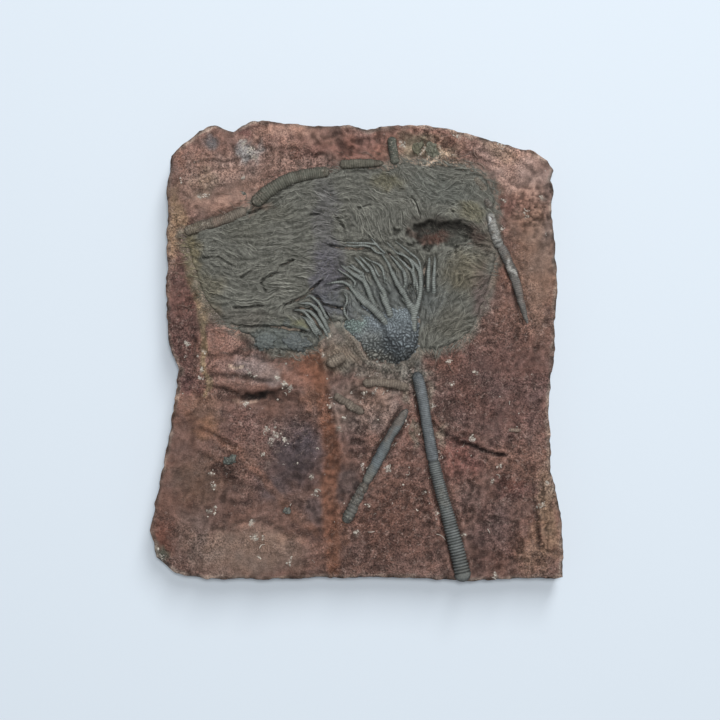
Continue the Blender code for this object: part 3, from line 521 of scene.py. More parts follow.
# Outline of the crushed cup, its lobes (x, y, half-width, half-length, rise) and its deep furrow
CALYX_EDGE = [
    (-5, 23.5), (-1, 27), (4, 29), (9, 27.5), (14, 25.5), (17, 28), (20, 30), (25, 31.5),
    (30, 31), (35, 29), (39.5, 27), (40, 22.5), (41, 17.5), (42, 11.5), (41.5, 6.5),
    (40, 1), (36.5, -3), (33, -6.5), (26.5, -8.5), (20, -9.5), (13, -9), (7, -6), (3, -1),
    (1.5, 4), (-2, 8.5), (-7, 12.5), (-9.5, 16), (-8, 20.5),
]
CALYX_LOBES = [(10, 9, 14, 16, 1.5), (29, 10, 13, 20, 3.2)]
CALYX_PATCHES = [
    (-2, 18, 8, 7, 0, srgb(124, 140, 132), 0.7),
    (8, 5, 9, 9, 0, srgb(138, 140, 134), 0.6),
    (28, 22, 9, 7, 0, srgb(132, 142, 146), 0.5),
    (12, -5, 14, 5, -10, srgb(138, 134, 122), 0.7),
    # The next row is a painted shadow along the cup's lower right edge.
    (32, -4, 10, 4, 20, srgb(96, 100, 100), 0.6),
]
CALYX_FURROW = [
    (6, 27), (10.4, 24.2), (15, 19.5), (17.5, 14.3), (18.9, 9.8), (20.8, 6.5), (23, 3.3),
    (27, -1),
]

COLUMNAL = (-75.0, 100.5, 3.3, 1.6)

# Low domes in the face: x, y, half-width, half-length, height, turn in degrees, plate size,
# colour from 0 to 255
DOMES = {
    "plate_cluster_left": (-60, 5.5, 8.2, 5.4, 4.0, 10, 2.3, (112, 118, 116)),
    "plate_cluster_right": (-38.5, 4.5, 9.0, 6.0, 4.2, -10, 2.3, (108, 114, 114)),
    "nodule_lower_left": (-83, -71.5, 4.2, 3.6, 3.0, 0, 2.4, (98, 103, 98)),
    "nodule_lower_middle": (-45.5, -104.5, 2.8, 2.6, 1.4, 0, 2.2, (112, 114, 110)),
    "nodule_upper_right": (115.5, 93, 5.5, 6.5, 1.6, 0, 5.0, (140, 108, 98)),
    "plate_fragment_left": (39.7, 132, 3.4, 5.2, 1.2, -25, 4.0, (118, 116, 98)),
    "plate_fragment_right": (49, 130.7, 3.8, 5.2, 1.2, 20, 4.0, (112, 112, 98)),
}


# Patches of colour on the rock: x, y, half-width, half-length, turn, colour, strength
ROCK_BASE = srgb(113, 87, 78)
ROCK_PATCHES = [
    (-89, 108, 29, 18, 0, srgb(143, 118, 107), 0.85),
    (-56, 123, 24, 8, 0, srgb(139, 114, 104), 0.8),
    (-53, 142, 24, 6, 0, srgb(150, 118, 104), 0.75),
    (-72, 144, 6, 4, 0, srgb(96, 62, 58), 0.7),
    (-16, 131, 30, 5, 5, srgb(112, 82, 74), 0.7),
    (-36, 123, 24, 5, 0, srgb(134, 108, 98), 0.7),
    (4, 135, 12, 8, 0, srgb(124, 90, 80), 0.7),
    (-95, 135, 6, 5, 0, srgb(96, 98, 100), 0.7),
    (-69, 131, 6, 6, 30, srgb(140, 140, 138), 0.7),
    (-100, 110, 8, 7, 30, srgb(122, 108, 94), 0.6),
    (106, 118, 24, 17, -30, srgb(158, 131, 120), 0.85),
    (104, 96, 20, 8, 0, srgb(128, 96, 88), 0.7),
    (92, 132, 12, 6, -30, srgb(122, 104, 88), 0.6),
    (44, 131, 18, 10, 0, srgb(118, 112, 96), 0.75),
    (56, 135, 9, 5, 0, srgb(104, 74, 66), 0.6),
    (60, 119, 16, 5, 0, srgb(136, 120, 104), 0.6),
    (116, 62, 14, 40, 0, srgb(140, 113, 98), 0.85),
    (124, 92, 5, 20, 0, srgb(108, 92, 86), 0.6),
    (94, -26, 40, 34, 0, srgb(104, 79, 74), 0.85),
    (66, 0, 16, 12, 0, srgb(116, 86, 78), 0.6),
    (66, -72, 16, 13, 0, srgb(110, 76, 70), 0.6),
    (99, -90, 12, 9, 0, srgb(116, 78, 72), 0.6),
    (84, -103, 26, 16, 0, srgb(94, 76, 72), 0.7),
    (96, -128, 20, 14, 0, srgb(104, 78, 70), 0.7),
    (124, -106, 8, 30, 0, srgb(130, 110, 92), 0.75),
    (114, -132, 12, 14, 0, srgb(130, 106, 90), 0.65),
    (28, -117, 30, 26, 0, srgb(100, 74, 66), 0.7),
    (36, -66, 14, 22, 0, srgb(112, 84, 76), 0.6),
    (8, -30, 16, 8, 0, srgb(128, 98, 84), 0.65),
    (-6, -56, 9, 18, 20, srgb(98, 80, 76), 0.6),
    (-28, -8, 12, 10, 0, srgb(134, 92, 74), 0.7),
    (-30, -22, 8, 12, 0, srgb(134, 98, 80), 0.7),
    (-97, -50, 7, 6, 0, srgb(136, 102, 80), 0.65),
    (-40, -68, 19, 20, 0, srgb(84, 73, 75), 0.9),
    (-56, -88, 12, 10, 0, srgb(96, 82, 82), 0.6),
    (-24, -108, 10, 12, 0, srgb(88, 76, 76), 0.6),
    (-5, -88, 10, 11, 0, srgb(80, 72, 72), 0.8),
    (-73, -132, 32, 13, 0, srgb(136, 113, 101), 0.8),
    (-108, -118, 16, 14, 20, srgb(108, 90, 82), 0.6),
    (-126, -121, 8, 12, 0, srgb(118, 78, 66), 0.7),
    (-130, -134, 7, 8, 0, srgb(84, 90, 78), 0.8),
    (-104, -84, 16, 16, 0, srgb(108, 88, 76), 0.6),
    (-74, -50, 14, 12, 0, srgb(112, 86, 80), 0.6),
    (-116, 14, 11, 42, 0, srgb(98, 72, 67), 0.9),
    (-114, -22, 8, 8, 0, srgb(88, 64, 62), 0.8),
    (-120, 82, 7, 24, 0, srgb(142, 118, 94), 0.75),
    (-87, 8, 11, 7, 0, srgb(153, 116, 103), 0.9),
    (-82, -8, 16, 7, 0, srgb(136, 104, 94), 0.7),
    (-60, -14, 24, 8, -10, srgb(142, 128, 124), 0.72),
    (-48, 4, 20, 7, 0, srgb(104, 106, 100), 0.85),
    (-36, -17, 12, 7, 0, srgb(146, 104, 88), 0.7),
    (-110, -33, 9, 7, 0, srgb(138, 106, 94), 0.8),
    (-100, -38, 10, 8, 0, srgb(118, 92, 78), 0.6),
    # The next two rows are painted shade: in the hollow under the lower left nodule, and in the deep
    # furrow.
    (-85, -79, 8, 4.5, 0, srgb(66, 48, 42), 0.9),
    (-62, -30.5, 9, 2.5, 0, srgb(46, 42, 40), 0.9),
    (33, -19, 16, 7, 0, srgb(112, 106, 98), 0.7),
    (-10, -6, 12, 7, 20, srgb(126, 112, 98), 0.6),
]
# Veins of colour: points, half-width, colour, strength
ROCK_PATCHES += [
    (38, -13, 9, 6, 0, srgb(122, 118, 108), 0.7),
    (47.9, -30, 2.4, 8, 8, srgb(150, 140, 124), 0.6),
    (53.5, -57, 2, 9, 8, srgb(140, 128, 112), 0.55),
    (33.8, -29, 2.4, 6, 8, srgb(150, 138, 122), 0.55),
    (40.6, -53, 1.8, 7, 8, srgb(128, 126, 112), 0.5),
    (70, -70, 15, 7, -15, srgb(112, 76, 70), 0.45),
    (114, -122, 5, 10, -8, srgb(128, 104, 90), 0.6),
    (-8, -4, 14, 9, 30, srgb(126, 118, 106), 0.75),
    (-8, 9, 11, 8, 0, srgb(116, 110, 102), 0.8),
    (36, -4, 9, 5, 20, srgb(120, 112, 102), 0.7),
    (-24, 2, 7, 5, 0, srgb(128, 110, 98), 0.6),
    (91, -122, 17, 20, 0, srgb(92, 72, 68), 0.7),
    (2, -38, 24, 16, 0, srgb(132, 116, 108), 0.65),
    (-72, -130, 34, 16, 0, srgb(134, 114, 102), 0.5),
    (37, -12, 7, 7, 0, srgb(104, 102, 96), 0.85),
    (14, -14, 24, 7, -8, srgb(116, 108, 98), 0.75),
    (24, -24, 12, 6, 0, srgb(118, 106, 98), 0.6),
    (-18, -3, 9, 7, 30, srgb(122, 110, 98), 0.7),
]
ROCK_VEINS = [
    ([(-27, -2), (-22, -30), (-18, -52), (-16.5, -70), (-17.5, -90), (-17, -110),
      (-15.5, -126), (-16, -148)], 5.0, srgb(113, 78, 62), 0.86),
    ([(-15, -97), (-9, -112), (-7, -124)], 2.6, srgb(112, 80, 66), 0.6),
    ([(-110, -40), (-102, -50), (-90, -58), (-74, -68), (-58, -86), (-44, -104), (-26, -118)], 2.9,
     srgb(120, 88, 74), 0.6),
    ([(-100.5, 17), (-99.5, 0), (-100, -12), (-96.5, -18), (-97, -24), (-100, -29)], 1.8,
     srgb(140, 126, 98), 0.6),
    ([(-106, 66), (-108, 50), (-103, 34), (-100, 20)], 3.2, srgb(130, 116, 90), 0.6),
    ([(-84, -10), (-81, -11.5), (-78, -12), (-74.5, -11.5)], 0.8, srgb(196, 172, 152), 0.8),
    ([(-10, 17), (-3, 8), (1.5, 0), (8, -7), (20, -10.5), (33, -8), (38, -3), (42, 4)], 3.6,
     srgb(104, 100, 92), 0.8),
    ([(-80, -33), (-72, -34.5), (-65, -33)], 1.0, srgb(170, 142, 126), 0.7),
    # The next two veins are painted shade along the deepest cracks.
    ([(58, -55), (71, -60.5), (81.3, -64), (91, -67.3), (97, -68.6)], 0.9, srgb(54, 38, 36), 0.85),
    ([(118.5, -114), (118.2, -119), (118.6, -130)], 0.7, srgb(66, 48, 44), 0.7),
    ([(-26, 103), (-21, 90), (-20, 70), (-22, 50)], 2.5, srgb(104, 98, 112), 0.3),
]
# Thin pale veinlets at the head of the crown
ROCK_VEINLETS = [
    [(33, 118.5), (37, 120), (45, 120.5), (49, 123), (52.5, 125.5), (54.5, 130), (53.5, 133.5)],
    [(47, 127), (44, 123.5), (41, 119.5)],
    [(54.5, 130), (59, 128), (64, 127)],
    [(36, 131), (42, 134.5), (47, 131)],
    [(40, 127), (45, 132), (49, 135)],
]
# Clusters of white calcite: x, y, size, brightness
CLUSTERS = [
    (-69.5, 131, 2.8, 0.6), (-74, 135, 1.8, 0.6), (-67, 126, 1.6, 0.8), (-114, 110.5, 1.6, 0.4),
    (-74, 113, 1.4, 0.9), (-102, 101, 1.8, 0.7), (-98, 100.5, 1.6, 0.5),
    (-95.5, -105, 2.2, 0.8), (-92, -102, 1.4, 0.6), (-68.5, -112, 1.9, 0.9), (-66.5, -121.5, 2.3, 0.9),
    (-61, -122, 1.2, 0.9), (-59, -51, 2.0, 0.7), (-52, -55, 2.6, 0.75), (-46, -58, 2.0, 0.7),
    (-56, -60, 1.6, 0.8), (-61, -67, 1.6, 0.6), (-30, -82, 1.8, 0.6), (-27, -93, 1.8, 0.7),
    (-95, -80, 1.6, 0.7), (-93, -88, 1.8, 0.6), (-17, -36, 1.6, 0.7), (-12, -50, 1.6, 0.6),
    (-8, -44, 1.6, 0.6), (5, -28, 1.8, 0.6), (12, -27, 1.4, 0.6), (75, -56.5, 1.8, 0.8),
    (-52, -17.5, 2.6, 0.55), (-47, -22.5, 2.2, 0.7), (-44, -24.5, 1.3, 0.9), (-72, -34, 1.4, 0.8),
    (-70, -15, 1.2, 0.9), (-67, -17, 1.2, 0.9), (-102, -18, 1.3, 0.8), (-99.5, -0.5, 1.4, 0.8),
    (-104, -3, 1.3, 0.6), (-101, -12.5, 1.3, 0.8), (60, -8, 1.5, 0.5), (77, -14, 1.3, 0.6),
    (62, -22, 1.5, 0.5), (90, -146, 1.5, 0.8), (-44, -138, 1.4, 0.8), (-64, -134, 1.2, 0.5),
    (66, 139, 2.2, 0.5), (30, 134, 2.0, 0.7), (40, 131, 1.6, 0.5), (94, 134, 2.0, 0.5),
    (121, 99, 2.2, 0.5), (110, 87, 1.6, 0.6), (96, 98, 1.6, 0.5), (-111, 4, 1.8, 0.6),
    (-127, -135, 2.2, 0.5), (-131, -130, 1.6, 0.5), (55, -95, 1.8, 0.5), (52, -105, 1.5, 0.6),
    (20, -78, 1.7, 0.5), (7, -100, 1.6, 0.5), (0, -119, 1.8, 0.5), (70, -120, 1.6, 0.5),
    (88, -85, 1.8, 0.5), (93, -75, 1.6, 0.6), (124, -86, 1.6, 0.7), (120, -100, 1.8, 0.6),
    (-22, -3, 1.6, 0.6), (-18, 9, 1.4, 0.7), (48, -82, 1.4, 0.6), (44, -92, 1.5, 0.6),
]

# Patches of colour on the crown
CROWN_BASE = srgb(126, 126, 118)
CROWN_PATCHES = [
    (-20, 52, 9, 18, 0, srgb(110, 107, 120), 0.7),
    (-14, 30, 14, 7, -20, srgb(108, 108, 122), 0.6),
    (-22, 90, 7, 22, 0, srgb(118, 116, 120), 0.5),
    (20, 109, 10, 7, 0, srgb(132, 126, 100), 0.6),
    (56, 104, 22, 9, 0, srgb(120, 124, 118), 0.5),
    (74, 92, 9, 7, 0, srgb(140, 134, 108), 0.6),
    (84, 72, 9, 12, 0, srgb(124, 110, 98), 0.6),
    (70, 50, 14, 12, 0, srgb(130, 122, 102), 0.7),
    (86, 32, 10, 22, 20, srgb(118, 102, 98), 0.85),
    (60, 20, 16, 10, 0, srgb(124, 120, 108), 0.5),
    (-110, 58, 8, 26, 0, srgb(140, 128, 98), 0.75),
    (-100, 40, 10, 12, 0, srgb(132, 124, 102), 0.5),
    (-100, 24, 10, 7, 0, srgb(134, 120, 100), 0.6),
    (20, 34, 36, 16, 0, srgb(118, 124, 124), 0.7),
    (-36, 17, 9, 5, 0, srgb(126, 126, 92), 0.6),
    (-47, 10, 24, 6, 0, srgb(110, 118, 116), 0.7),
    (-72, 22, 18, 7, 0, srgb(120, 112, 104), 0.4),
    # The next row is a painted shadow on the hollow's upper wall.
    (55, 82, 21, 6, 0, srgb(70, 65, 60), 0.8),
    (50, 73.5, 10, 3.6, 0, srgb(120, 86, 76), 0.75),
    (38, 75, 6, 3, 0, srgb(100, 80, 72), 0.6),
    (78, 77, 8, 6, 0, srgb(88, 72, 66), 0.8),
    (-64, 92, 8, 3, 20, srgb(140, 110, 98), 0.7),
    (-72, 76, 12, 8, 0, srgb(118, 116, 104), 0.4),
    (-58, 90, 16, 8, 0, srgb(118, 116, 104), 0.4),
]

# ---------------------------------------------------------------------------------------------
# Numbers into shapes
# ---------------------------------------------------------------------------------------------


def soft_noise(x, y, size, seed):
    """Smooth random values from -1 to 1 over the face, in patches about as wide as size."""
    cells = int(2 * NOISE_REACH / size) + 3
    lattice = np.random.default_rng(seed).uniform(-1, 1, (cells, cells))
    cos, sin = math.cos(1.3 * seed), math.sin(1.3 * seed)
    across = (x * cos + y * sin + NOISE_REACH) / size
    along = (y * cos - x * sin + NOISE_REACH) / size
    return between(lattice, across, along, True)


def between(grid, across, along, soften=False):
    """Values of a grid at places counted in its columns and rows."""
    rows, columns = grid.shape[:2]
    across = np.clip(across, 0, columns - 1.001)
    along = np.clip(along, 0, rows - 1.001)
    column = across.astype(int)
    row = along.astype(int)
    across = across - column
    along = along - row
    if soften:
        across = across * across * (3 - 2 * across)
        along = along * along * (3 - 2 * along)
    near = grid[row, column] * (1 - across) + grid[row, column + 1] * across
    far = grid[row + 1, column] * (1 - across) + grid[row + 1, column + 1] * across
    return near * (1 - along) + far * along


def ridges(x, y, size, seed):
    """Random values from -1 to 1 that rise to sharp, winding crests."""
    bent_x = x + 0.8 * size * soft_noise(x, y, 1.2 * size, seed + 1)
    bent_y = y + 0.8 * size * soft_noise(x, y, 1.2 * size, seed + 2)
    bent_x += 0.2 * size * soft_noise(x, y, 0.4 * size, seed + 3)
    return 1 - 2.6 * np.abs(soft_noise(bent_x, bent_y, size, seed))


def plates(x, y, size, seed):
    """For each place, how far it lies from its plate's seam and a random value of the plate."""
    cells = int(2 * NOISE_REACH / size) + 3
    draw = np.random.default_rng(seed)
    middle_x, middle_y = draw.uniform(0.1, 0.9, (2, cells, cells))
    value = draw.uniform(0, 1, (cells, cells))
    across = (x + NOISE_REACH) / size
    along = (y + NOISE_REACH) / size
    nearest = np.full(x.shape, 9.0)
    second = np.full(x.shape, 9.0)
    own = np.zeros(x.shape)
    for row_step in (-1, 0, 1):
        for column_step in (-1, 0, 1):
            column = np.clip(across.astype(int) + column_step, 0, cells - 1)
            row = np.clip(along.astype(int) + row_step, 0, cells - 1)
            gap = np.hypot(
                across - column - middle_x[row, column], along - row - middle_y[row, column]
            )
            closer = gap < nearest
            second = np.where(closer, nearest, np.minimum(second, gap))
            own = np.where(closer, value[row, column], own)
            nearest = np.minimum(nearest, gap)
    return second - nearest, own


def smooth_step(value):
    value = np.clip(value, 0, 1)
    return value * value * (3 - 2 * value)


def line_frame(x, y, line):
    """For each place, its distance to a line, the line's side and how far along the line it is."""
    nearest = np.full(x.shape, np.inf)
    side = np.ones(x.shape)
    share_along = np.zeros(x.shape)
    lengths = [math.dist(start, end) for start, end in zip(line[:-1], line[1:])]
    passed = 0.0
    for (x0, y0), (x1, y1), length in zip(line[:-1], line[1:], lengths):
        run_x, run_y = (x1 - x0) / length, (y1 - y0) / length
        along = np.clip((x - x0) * run_x + (y - y0) * run_y, 0, length)
        gap_x = x - x0 - along * run_x
        gap_y = y - y0 - along * run_y
        gap = np.hypot(gap_x, gap_y)
        closer = gap < nearest
        side = np.where(closer, np.sign(run_x * gap_y - run_y * gap_x), side)
        share_along = np.where(closer, passed + along, share_along)
        nearest = np.minimum(nearest, gap)
        passed += length
    return nearest, side, share_along / passed


def line_distance(x, y, line):
    return line_frame(x, y, line)[0]


def inside_depth(x, y, outline):
    """Distance from each place to a closed outline, below zero outside it."""
    inside = np.zeros(x.shape, bool)
    for (x0, y0), (x1, y1) in zip(outline, outline[1:] + outline[:1]):
        if y0 == y1:
            continue
        crosses = (y0 > y) != (y1 > y)
        inside ^= crosses & (x < (x1 - x0) * (y - y0) / (y1 - y0) + x0)
    distance = line_distance(x, y, outline + outline[:1])
    return np.where(inside, distance, -distance)


def in_patch(x, y, centre_x, centre_y, half_x, half_y, turn=0):
    """1 well inside a patch, 0 outside it."""
    cos, sin = math.cos(math.radians(turn)), math.sin(math.radians(turn))
    across = (x - centre_x) * cos + (y - centre_y) * sin
    along = (y - centre_y) * cos - (x - centre_x) * sin
    return smooth_step(1.5 - np.hypot(across / half_x, along / half_y))


def swelling(x, y):
    """Height of the smooth fossil face over the back."""
    rise = np.zeros(np.shape(x))
    for centre_x, centre_y, half_x, half_y, height in SWELLINGS:
        rise += height * np.exp(-((x - centre_x) / half_x) ** 2 - ((y - centre_y) / half_y) ** 2)
    return FACE_HEIGHT + rise


def hollow_depth(x, y):
    centre_x, centre_y, half_x, half_y, depth = HOLLOW
    ragged = 1 + 0.4 * soft_noise(x, y, 6, 71) + 0.25 * soft_noise(x, y, 2.5, 72)
    along = (y - centre_y) / half_y
    along = np.where(along > 0, along * 1.15, along * 0.85)
    reach = np.hypot((x - centre_x) / half_x, along) * ragged
    return depth * smooth_step(1.65 - 1.5 * reach)


def slab_depth(x, y):
    """Distance from each place to the slab's outline, below zero outside it."""
    outline = OUTLINE_LEFT[:-1] + OUTLINE_TOP[:-1] + OUTLINE_RIGHT[:-1] + OUTLINE_BOTTOM[:-1]
    return inside_depth(x, y, outline)


def rim_distance(x, y):
    return np.abs(slab_depth(x, y))


def pebbly(x, y):
    """1 in the pebbly areas that lie on the crown, 0 away from them."""
    mask = np.zeros(x.shape)
    for *area, size, rise in PEBBLES[-2:]:
        mask = np.maximum(mask, in_patch(x, y, *area))
    return mask


def rock_height(x, y, roughness):
    """Height of the rock's broken face, with its cracks and the beds of the fossil pieces."""
    height = swelling(x, y)
    rough = np.full(x.shape, 0.75)
    for *area, change in ROUGH_AREAS:
        rough += change * in_patch(x, y, *area)
    rough *= roughness * (1 + 0.35 * soft_noise(x, y, 20, 19))
    height += rough * (
        0.9 * ridges(x, y, 19, 11)
        + 0.55 * ridges(x, y, 8.5, 12)
        + 0.4 * soft_noise(x, y, 7, 10)
        + 0.46 * soft_noise(x, y, 3.8, 13)
        + 0.5 * soft_noise(x, y, 2.2, 14)
    )
    level = 3.2 * soft_noise(x, y, 26, 30) + 1.3 * soft_noise(x, y, 8, 31)
    level += 0.3 * soft_noise(x, y, 2.5, 32)
    flakes = np.floor(level) + smooth_step((level % 1 - 0.72) / 0.28)
    clear = np.ones(x.shape)
    wander_x = x + 1.1 * soft_noise(x, y, 5, 15) + 0.5 * soft_noise(x, y, 2, 25)
    wander_y = y + 1.1 * soft_noise(x, y, 5, 16) + 0.5 * soft_noise(x, y, 2, 26)
    for line, half_width, depth in FURROWS:
        distance, _, along = line_frame(wander_x, wander_y, line)
        ends = smooth_step(np.minimum(along, 1 - along) * 6 + 0.15)
        uneven = 0.75 + 0.7 * soft_noise(x, y, 8, 28)
        height -= 1.25 * depth * uneven * ends * np.exp(-((distance / half_width) ** 2))
    for line, drop, reach, softness in STEPS:
        distance, side, along = line_frame(wander_x, wander_y, line)
        ends = smooth_step(np.minimum(along, 1 - along) * 6)
        slope = side * np.tanh(distance / softness) * np.exp(-distance / reach)
        height += 0.5 * RELIEF * drop * slope * ends
    for line, half_width, rise in ROLLS:
        distance, _, along = line_frame(wander_x, wander_y, line)
        ends = smooth_step(np.minimum(along, 1 - along) * 5)
        height += rise * ends * np.sqrt(np.clip(1 - (distance / half_width) ** 2, 0, 1))
    *area, spacing, rise = RIBS
    turn = math.radians(area[-1])
    across = x * math.cos(turn) + y * math.sin(turn) + 0.7 * soft_noise(x, y, 5, 33)
    height += rise * in_patch(x, y, *area) * np.cos(2 * math.pi * across / spacing)
    for number, (*area, size, rise) in enumerate(PEBBLES):
        seam, own = plates(wander_x, wander_y, size, 401 + number)
        knobs = smooth_step(seam / 0.55) * (0.4 + own) - 0.5
        height += 1.3 * rise * in_patch(x, y, *area) * knobs
    for name, (lift, pitch, fullness, colour, route) in STEMS.items():
        radius = route[len(route) // 2][2]
        distance, side, along = line_frame(x, y, [(px, py) for px, py, _ in route])
        gap = distance - radius * fullness
        clear = np.minimum(clear, smooth_step((gap - 0.5) / 4))
        depth = 2.2 if name in CLEAN_STEMS else 0.6
        ends = smooth_step(np.minimum(along, 1 - along) * 12)
        depth = depth * ends * (0.75 + 0.6 * soft_noise(x, y, 7, 29)) * (1 - 0.3 * side)
        height -= depth * np.exp(-(((gap - 0.2) / 1.1) ** 2)) * (gap > -radius)
        height += 0.9 * ends * np.exp(-(((gap - 2.8) / 1.4) ** 2)) * soft_noise(x, y, 3, 27)
    crown = inside_depth(x, y, CROWN_EDGE)
    cup = inside_depth(x, y, CALYX_EDGE)
    clear *= smooth_step(-crown / 5) * smooth_step(-cup / 4)
    height += FLAKE * rough * flakes * clear
    height -= 2.4 * smooth_step(crown / 4)
    height -= 2.2 * smooth_step(cup / 2)
    chips = 1.1 + soft_noise(x, y, 9, 17) + 0.7 * soft_noise(x, y, 4, 18)
    height -= np.clip(chips, 0.1, None) * 1.5 * np.exp(-rim_distance(x, y) / 2.0)
    return height - 1.25 * hollow_depth(x, y)


def stand_out(height, columns, reach):
    """How far each point of a grid of heights stands over the mean around it."""
    grid = height.reshape(-1, columns)
    padded = np.pad(grid, reach, mode="edge")
    total = np.zeros(grid.shape)
    for row in range(2 * reach + 1):
        for column in range(2 * reach + 1):
            total += padded[row:row + grid.shape[0], column:column + grid.shape[1]]
    return (grid - total / (2 * reach + 1) ** 2).ravel()


def painted(x, y, base, patches, veins=()):
    """Linear colours over the face: a base with ragged patches and veins of other colours."""
    colour = np.tile(base, (len(x), 1))
    wander_x = x + 4 * soft_noise(x, y, 12, 21) + 2.6 * soft_noise(x, y, 4.5, 22)
    wander_x += 1.2 * soft_noise(x, y, 2, 61)
    wander_y = y + 4 * soft_noise(x, y, 12, 23) + 2.6 * soft_noise(x, y, 4.5, 24)
    wander_y += 1.2 * soft_noise(x, y, 2, 62)
    for *area, patch, strength in patches:
        mask = strength * in_patch(wander_x, wander_y, *area)
        colour += (patch - colour) * mask[:, None]
    wander_x = x + 0.3 * (wander_x - x)
    wander_y = y + 0.3 * (wander_y - y)
    for line, half_width, patch, strength in veins:
        distance = line_distance(wander_x, wander_y, line)
        mask = strength * smooth_step(1.5 - distance / half_width)
        colour += (patch - colour) * mask[:, None]
    return colour


class CrownFlow:
    """Direction of the pinnules over the crown, and the streaky bed that they lie on."""

    PITCH = 0.5
    TURN_PITCH = 2.0
    LOW_X, HIGH_X, LOW_Y, HIGH_Y = -122.0, 100.0, -12.0, 130.0

    def __init__(self):
        self.turns = self.find_turns()
        self.arm_gap = self.find_arm_gap()
        self.bed = self.lay_bed()
        x, y = self.places(self.PITCH)
        rock = rock_height(x, y, 1.0).reshape(self.bed.shape)
        self.ground = np.maximum(self.bed, rock)
        self.level = self.ground - stand_out(self.ground, self.ground.shape[1], 4).reshape(
            self.ground.shape
        )

    def places(self, pitch):
        columns = int((self.HIGH_X - self.LOW_X) / pitch) + 1
        rows = int((self.HIGH_Y - self.LOW_Y) / pitch) + 1
        x, y = np.meshgrid(
            self.LOW_X + pitch * np.arange(columns), self.LOW_Y + pitch * np.arange(rows)
        )
        self.shape = x.shape
        return x.ravel(), y.ravel()

    def find_arm_gap(self):
        """A grid of distances to the nearest free arm's side, below zero inside the arm."""
        x, y = self.places(self.PITCH)
        gap = np.full(len(x), 9.0)
        near = (x > -48) & (x < 60) & (y > 0) & (y < 80)
        nearest = gap[near]
        for route in list(ARMS.values()) + ARM_BRANCHES:
            line = [(px, py) for px, py, _ in route]
            distance, _, along = line_frame(x[near], y[near], line)
            marks = np.linspace(0, 1, len(route))
            nearest = np.minimum(nearest, distance - np.interp(along, marks, [r for *_, r in route]))
        gap[near] = nearest
        return gap.reshape(self.shape)

    def find_turns(self):
        """A grid of the flow's direction, as the cosine and sine of its doubled angle."""
        middles, doubled = [], []
        arms = [[(px, py) for px, py, _ in route] for route in ARM_BRANCHES]
        for guide in FLOW_GUIDES + CROWN_GAPS + LONG_PINNULES + arms:
            for (x0, y0), (x1, y1) in zip(guide[:-1], guide[1:]):
                length = math.hypot(x1 - x0, y1 - y0)
                steps = max(1, int(length / 5))
                turn = 2 * math.atan2(y1 - y0, x1 - x0)
                for step in range(steps):
                    share = (step + 0.5) / steps
                    middles.append((x0 + (x1 - x0) * share, y0 + (y1 - y0) * share))
                    doubled.append((math.cos(turn) * length / steps, math.sin(turn) * length / steps))
        x, y = self.places(self.TURN_PITCH)
        middles = np.array(middles)
        gap = (x[:, None] - middles[:, 0]) ** 2 + (y[:, None] - middles[:, 1]) ** 2
        total = (1.0 / (gap + 5.0) ** 1.5) @ np.array(doubled)
        total /= np.linalg.norm(total, axis=1)[:, None]
        return total.reshape(*self.shape, 2)

    def angle(self, x, y, seed=31):
        """Direction in radians. It has no sense: a line may be followed either way."""
        across = (x - self.LOW_X) / self.TURN_PITCH
        along = (y - self.LOW_Y) / self.TURN_PITCH
        cosine = between(self.turns[:, :, 0], across, along)
        sine = between(self.turns[:, :, 1], across, along)
        wave = 0.5 * soft_noise(x, y, 7, seed) + 0.32 * soft_noise(x, y, 3, seed + 1)
        return 0.5 * np.arctan2(sine, cosine) + wave

    def trace(self, x, y, steps, stride, seed=31, bend=0.0, curl=0.0, phase=0.0):
        """Places along the flow lines that start at x, y: arrays of steps + 1 rows."""
        heading = self.angle(x, y, seed)
        heading = heading + math.pi * (np.cos(heading) > 0)
        path_x, path_y = [x], [y]
        for step in range(steps):
            wound = heading + bend + curl * np.sin(phase + 1.1 * step)
            x = x + stride * np.cos(wound)
            y = y + stride * np.sin(wound)
            following = self.angle(x, y, seed)
            heading = following + math.pi * (np.cos(following - heading) < 0)
            path_x.append(x)
            path_y.append(y)
        return np.array(path_x), np.array(path_y)

    def lay_bed(self):
        """A grid of bed heights, with ridges that run along the flow."""
        x, y = self.places(self.PITCH)
        shape = self.shape
        streaks = np.zeros(len(x))
        fine = np.zeros(len(x))
        for sense in (0.0, math.pi):
            path_x, path_y = self.trace(x, y, 4, 0.9, bend=sense)
            streaks += soft_noise(path_x, path_y, 2.6, 41).mean(axis=0)
            fine += soft_noise(path_x, path_y, 1.15, 42).mean(axis=0)
        height = swelling(x, y) - 1.3 + 2.2 * smooth_step(inside_depth(x, y, CROWN_EDGE) / 3.5)
        height += 0.5 * streaks + 0.9 * fine
        height += 0.6 * soft_noise(x, y, 11, 43) + 0.5 * soft_noise(x, y, 5, 44)
        height -= 1.4 * np.exp(-((np.maximum(self.arm_gap.ravel(), 0) / 1.5) ** 2))
        for number, (*area, size, rise) in enumerate(PEBBLES[-2:]):
            seam, own = plates(x, y, size, 421 + number)
            mask = in_patch(x, y, *area)
            height += mask * (rise * smooth_step(seam / 0.6) * (0.4 + own) - 0.4)
        for gap in CROWN_GAPS:
            distance, side, along = line_frame(x, y, gap)
            ends = smooth_step(np.minimum(along, 1 - along) * 6)
            height -= 2.6 * ends * np.exp(-((distance / 0.85) ** 2))
        return (height - hollow_depth(x, y)).reshape(shape)

    def on_grid(self, grid, x, y):
        return between(grid, (x - self.LOW_X) / self.PITCH, (y - self.LOW_Y) / self.PITCH)

    def bed_height(self, x, y):
        return self.on_grid(self.bed, x, y)

    def ground_height(self, x, y):
        return self.on_grid(self.ground, x, y)


FLOW = CrownFlow()


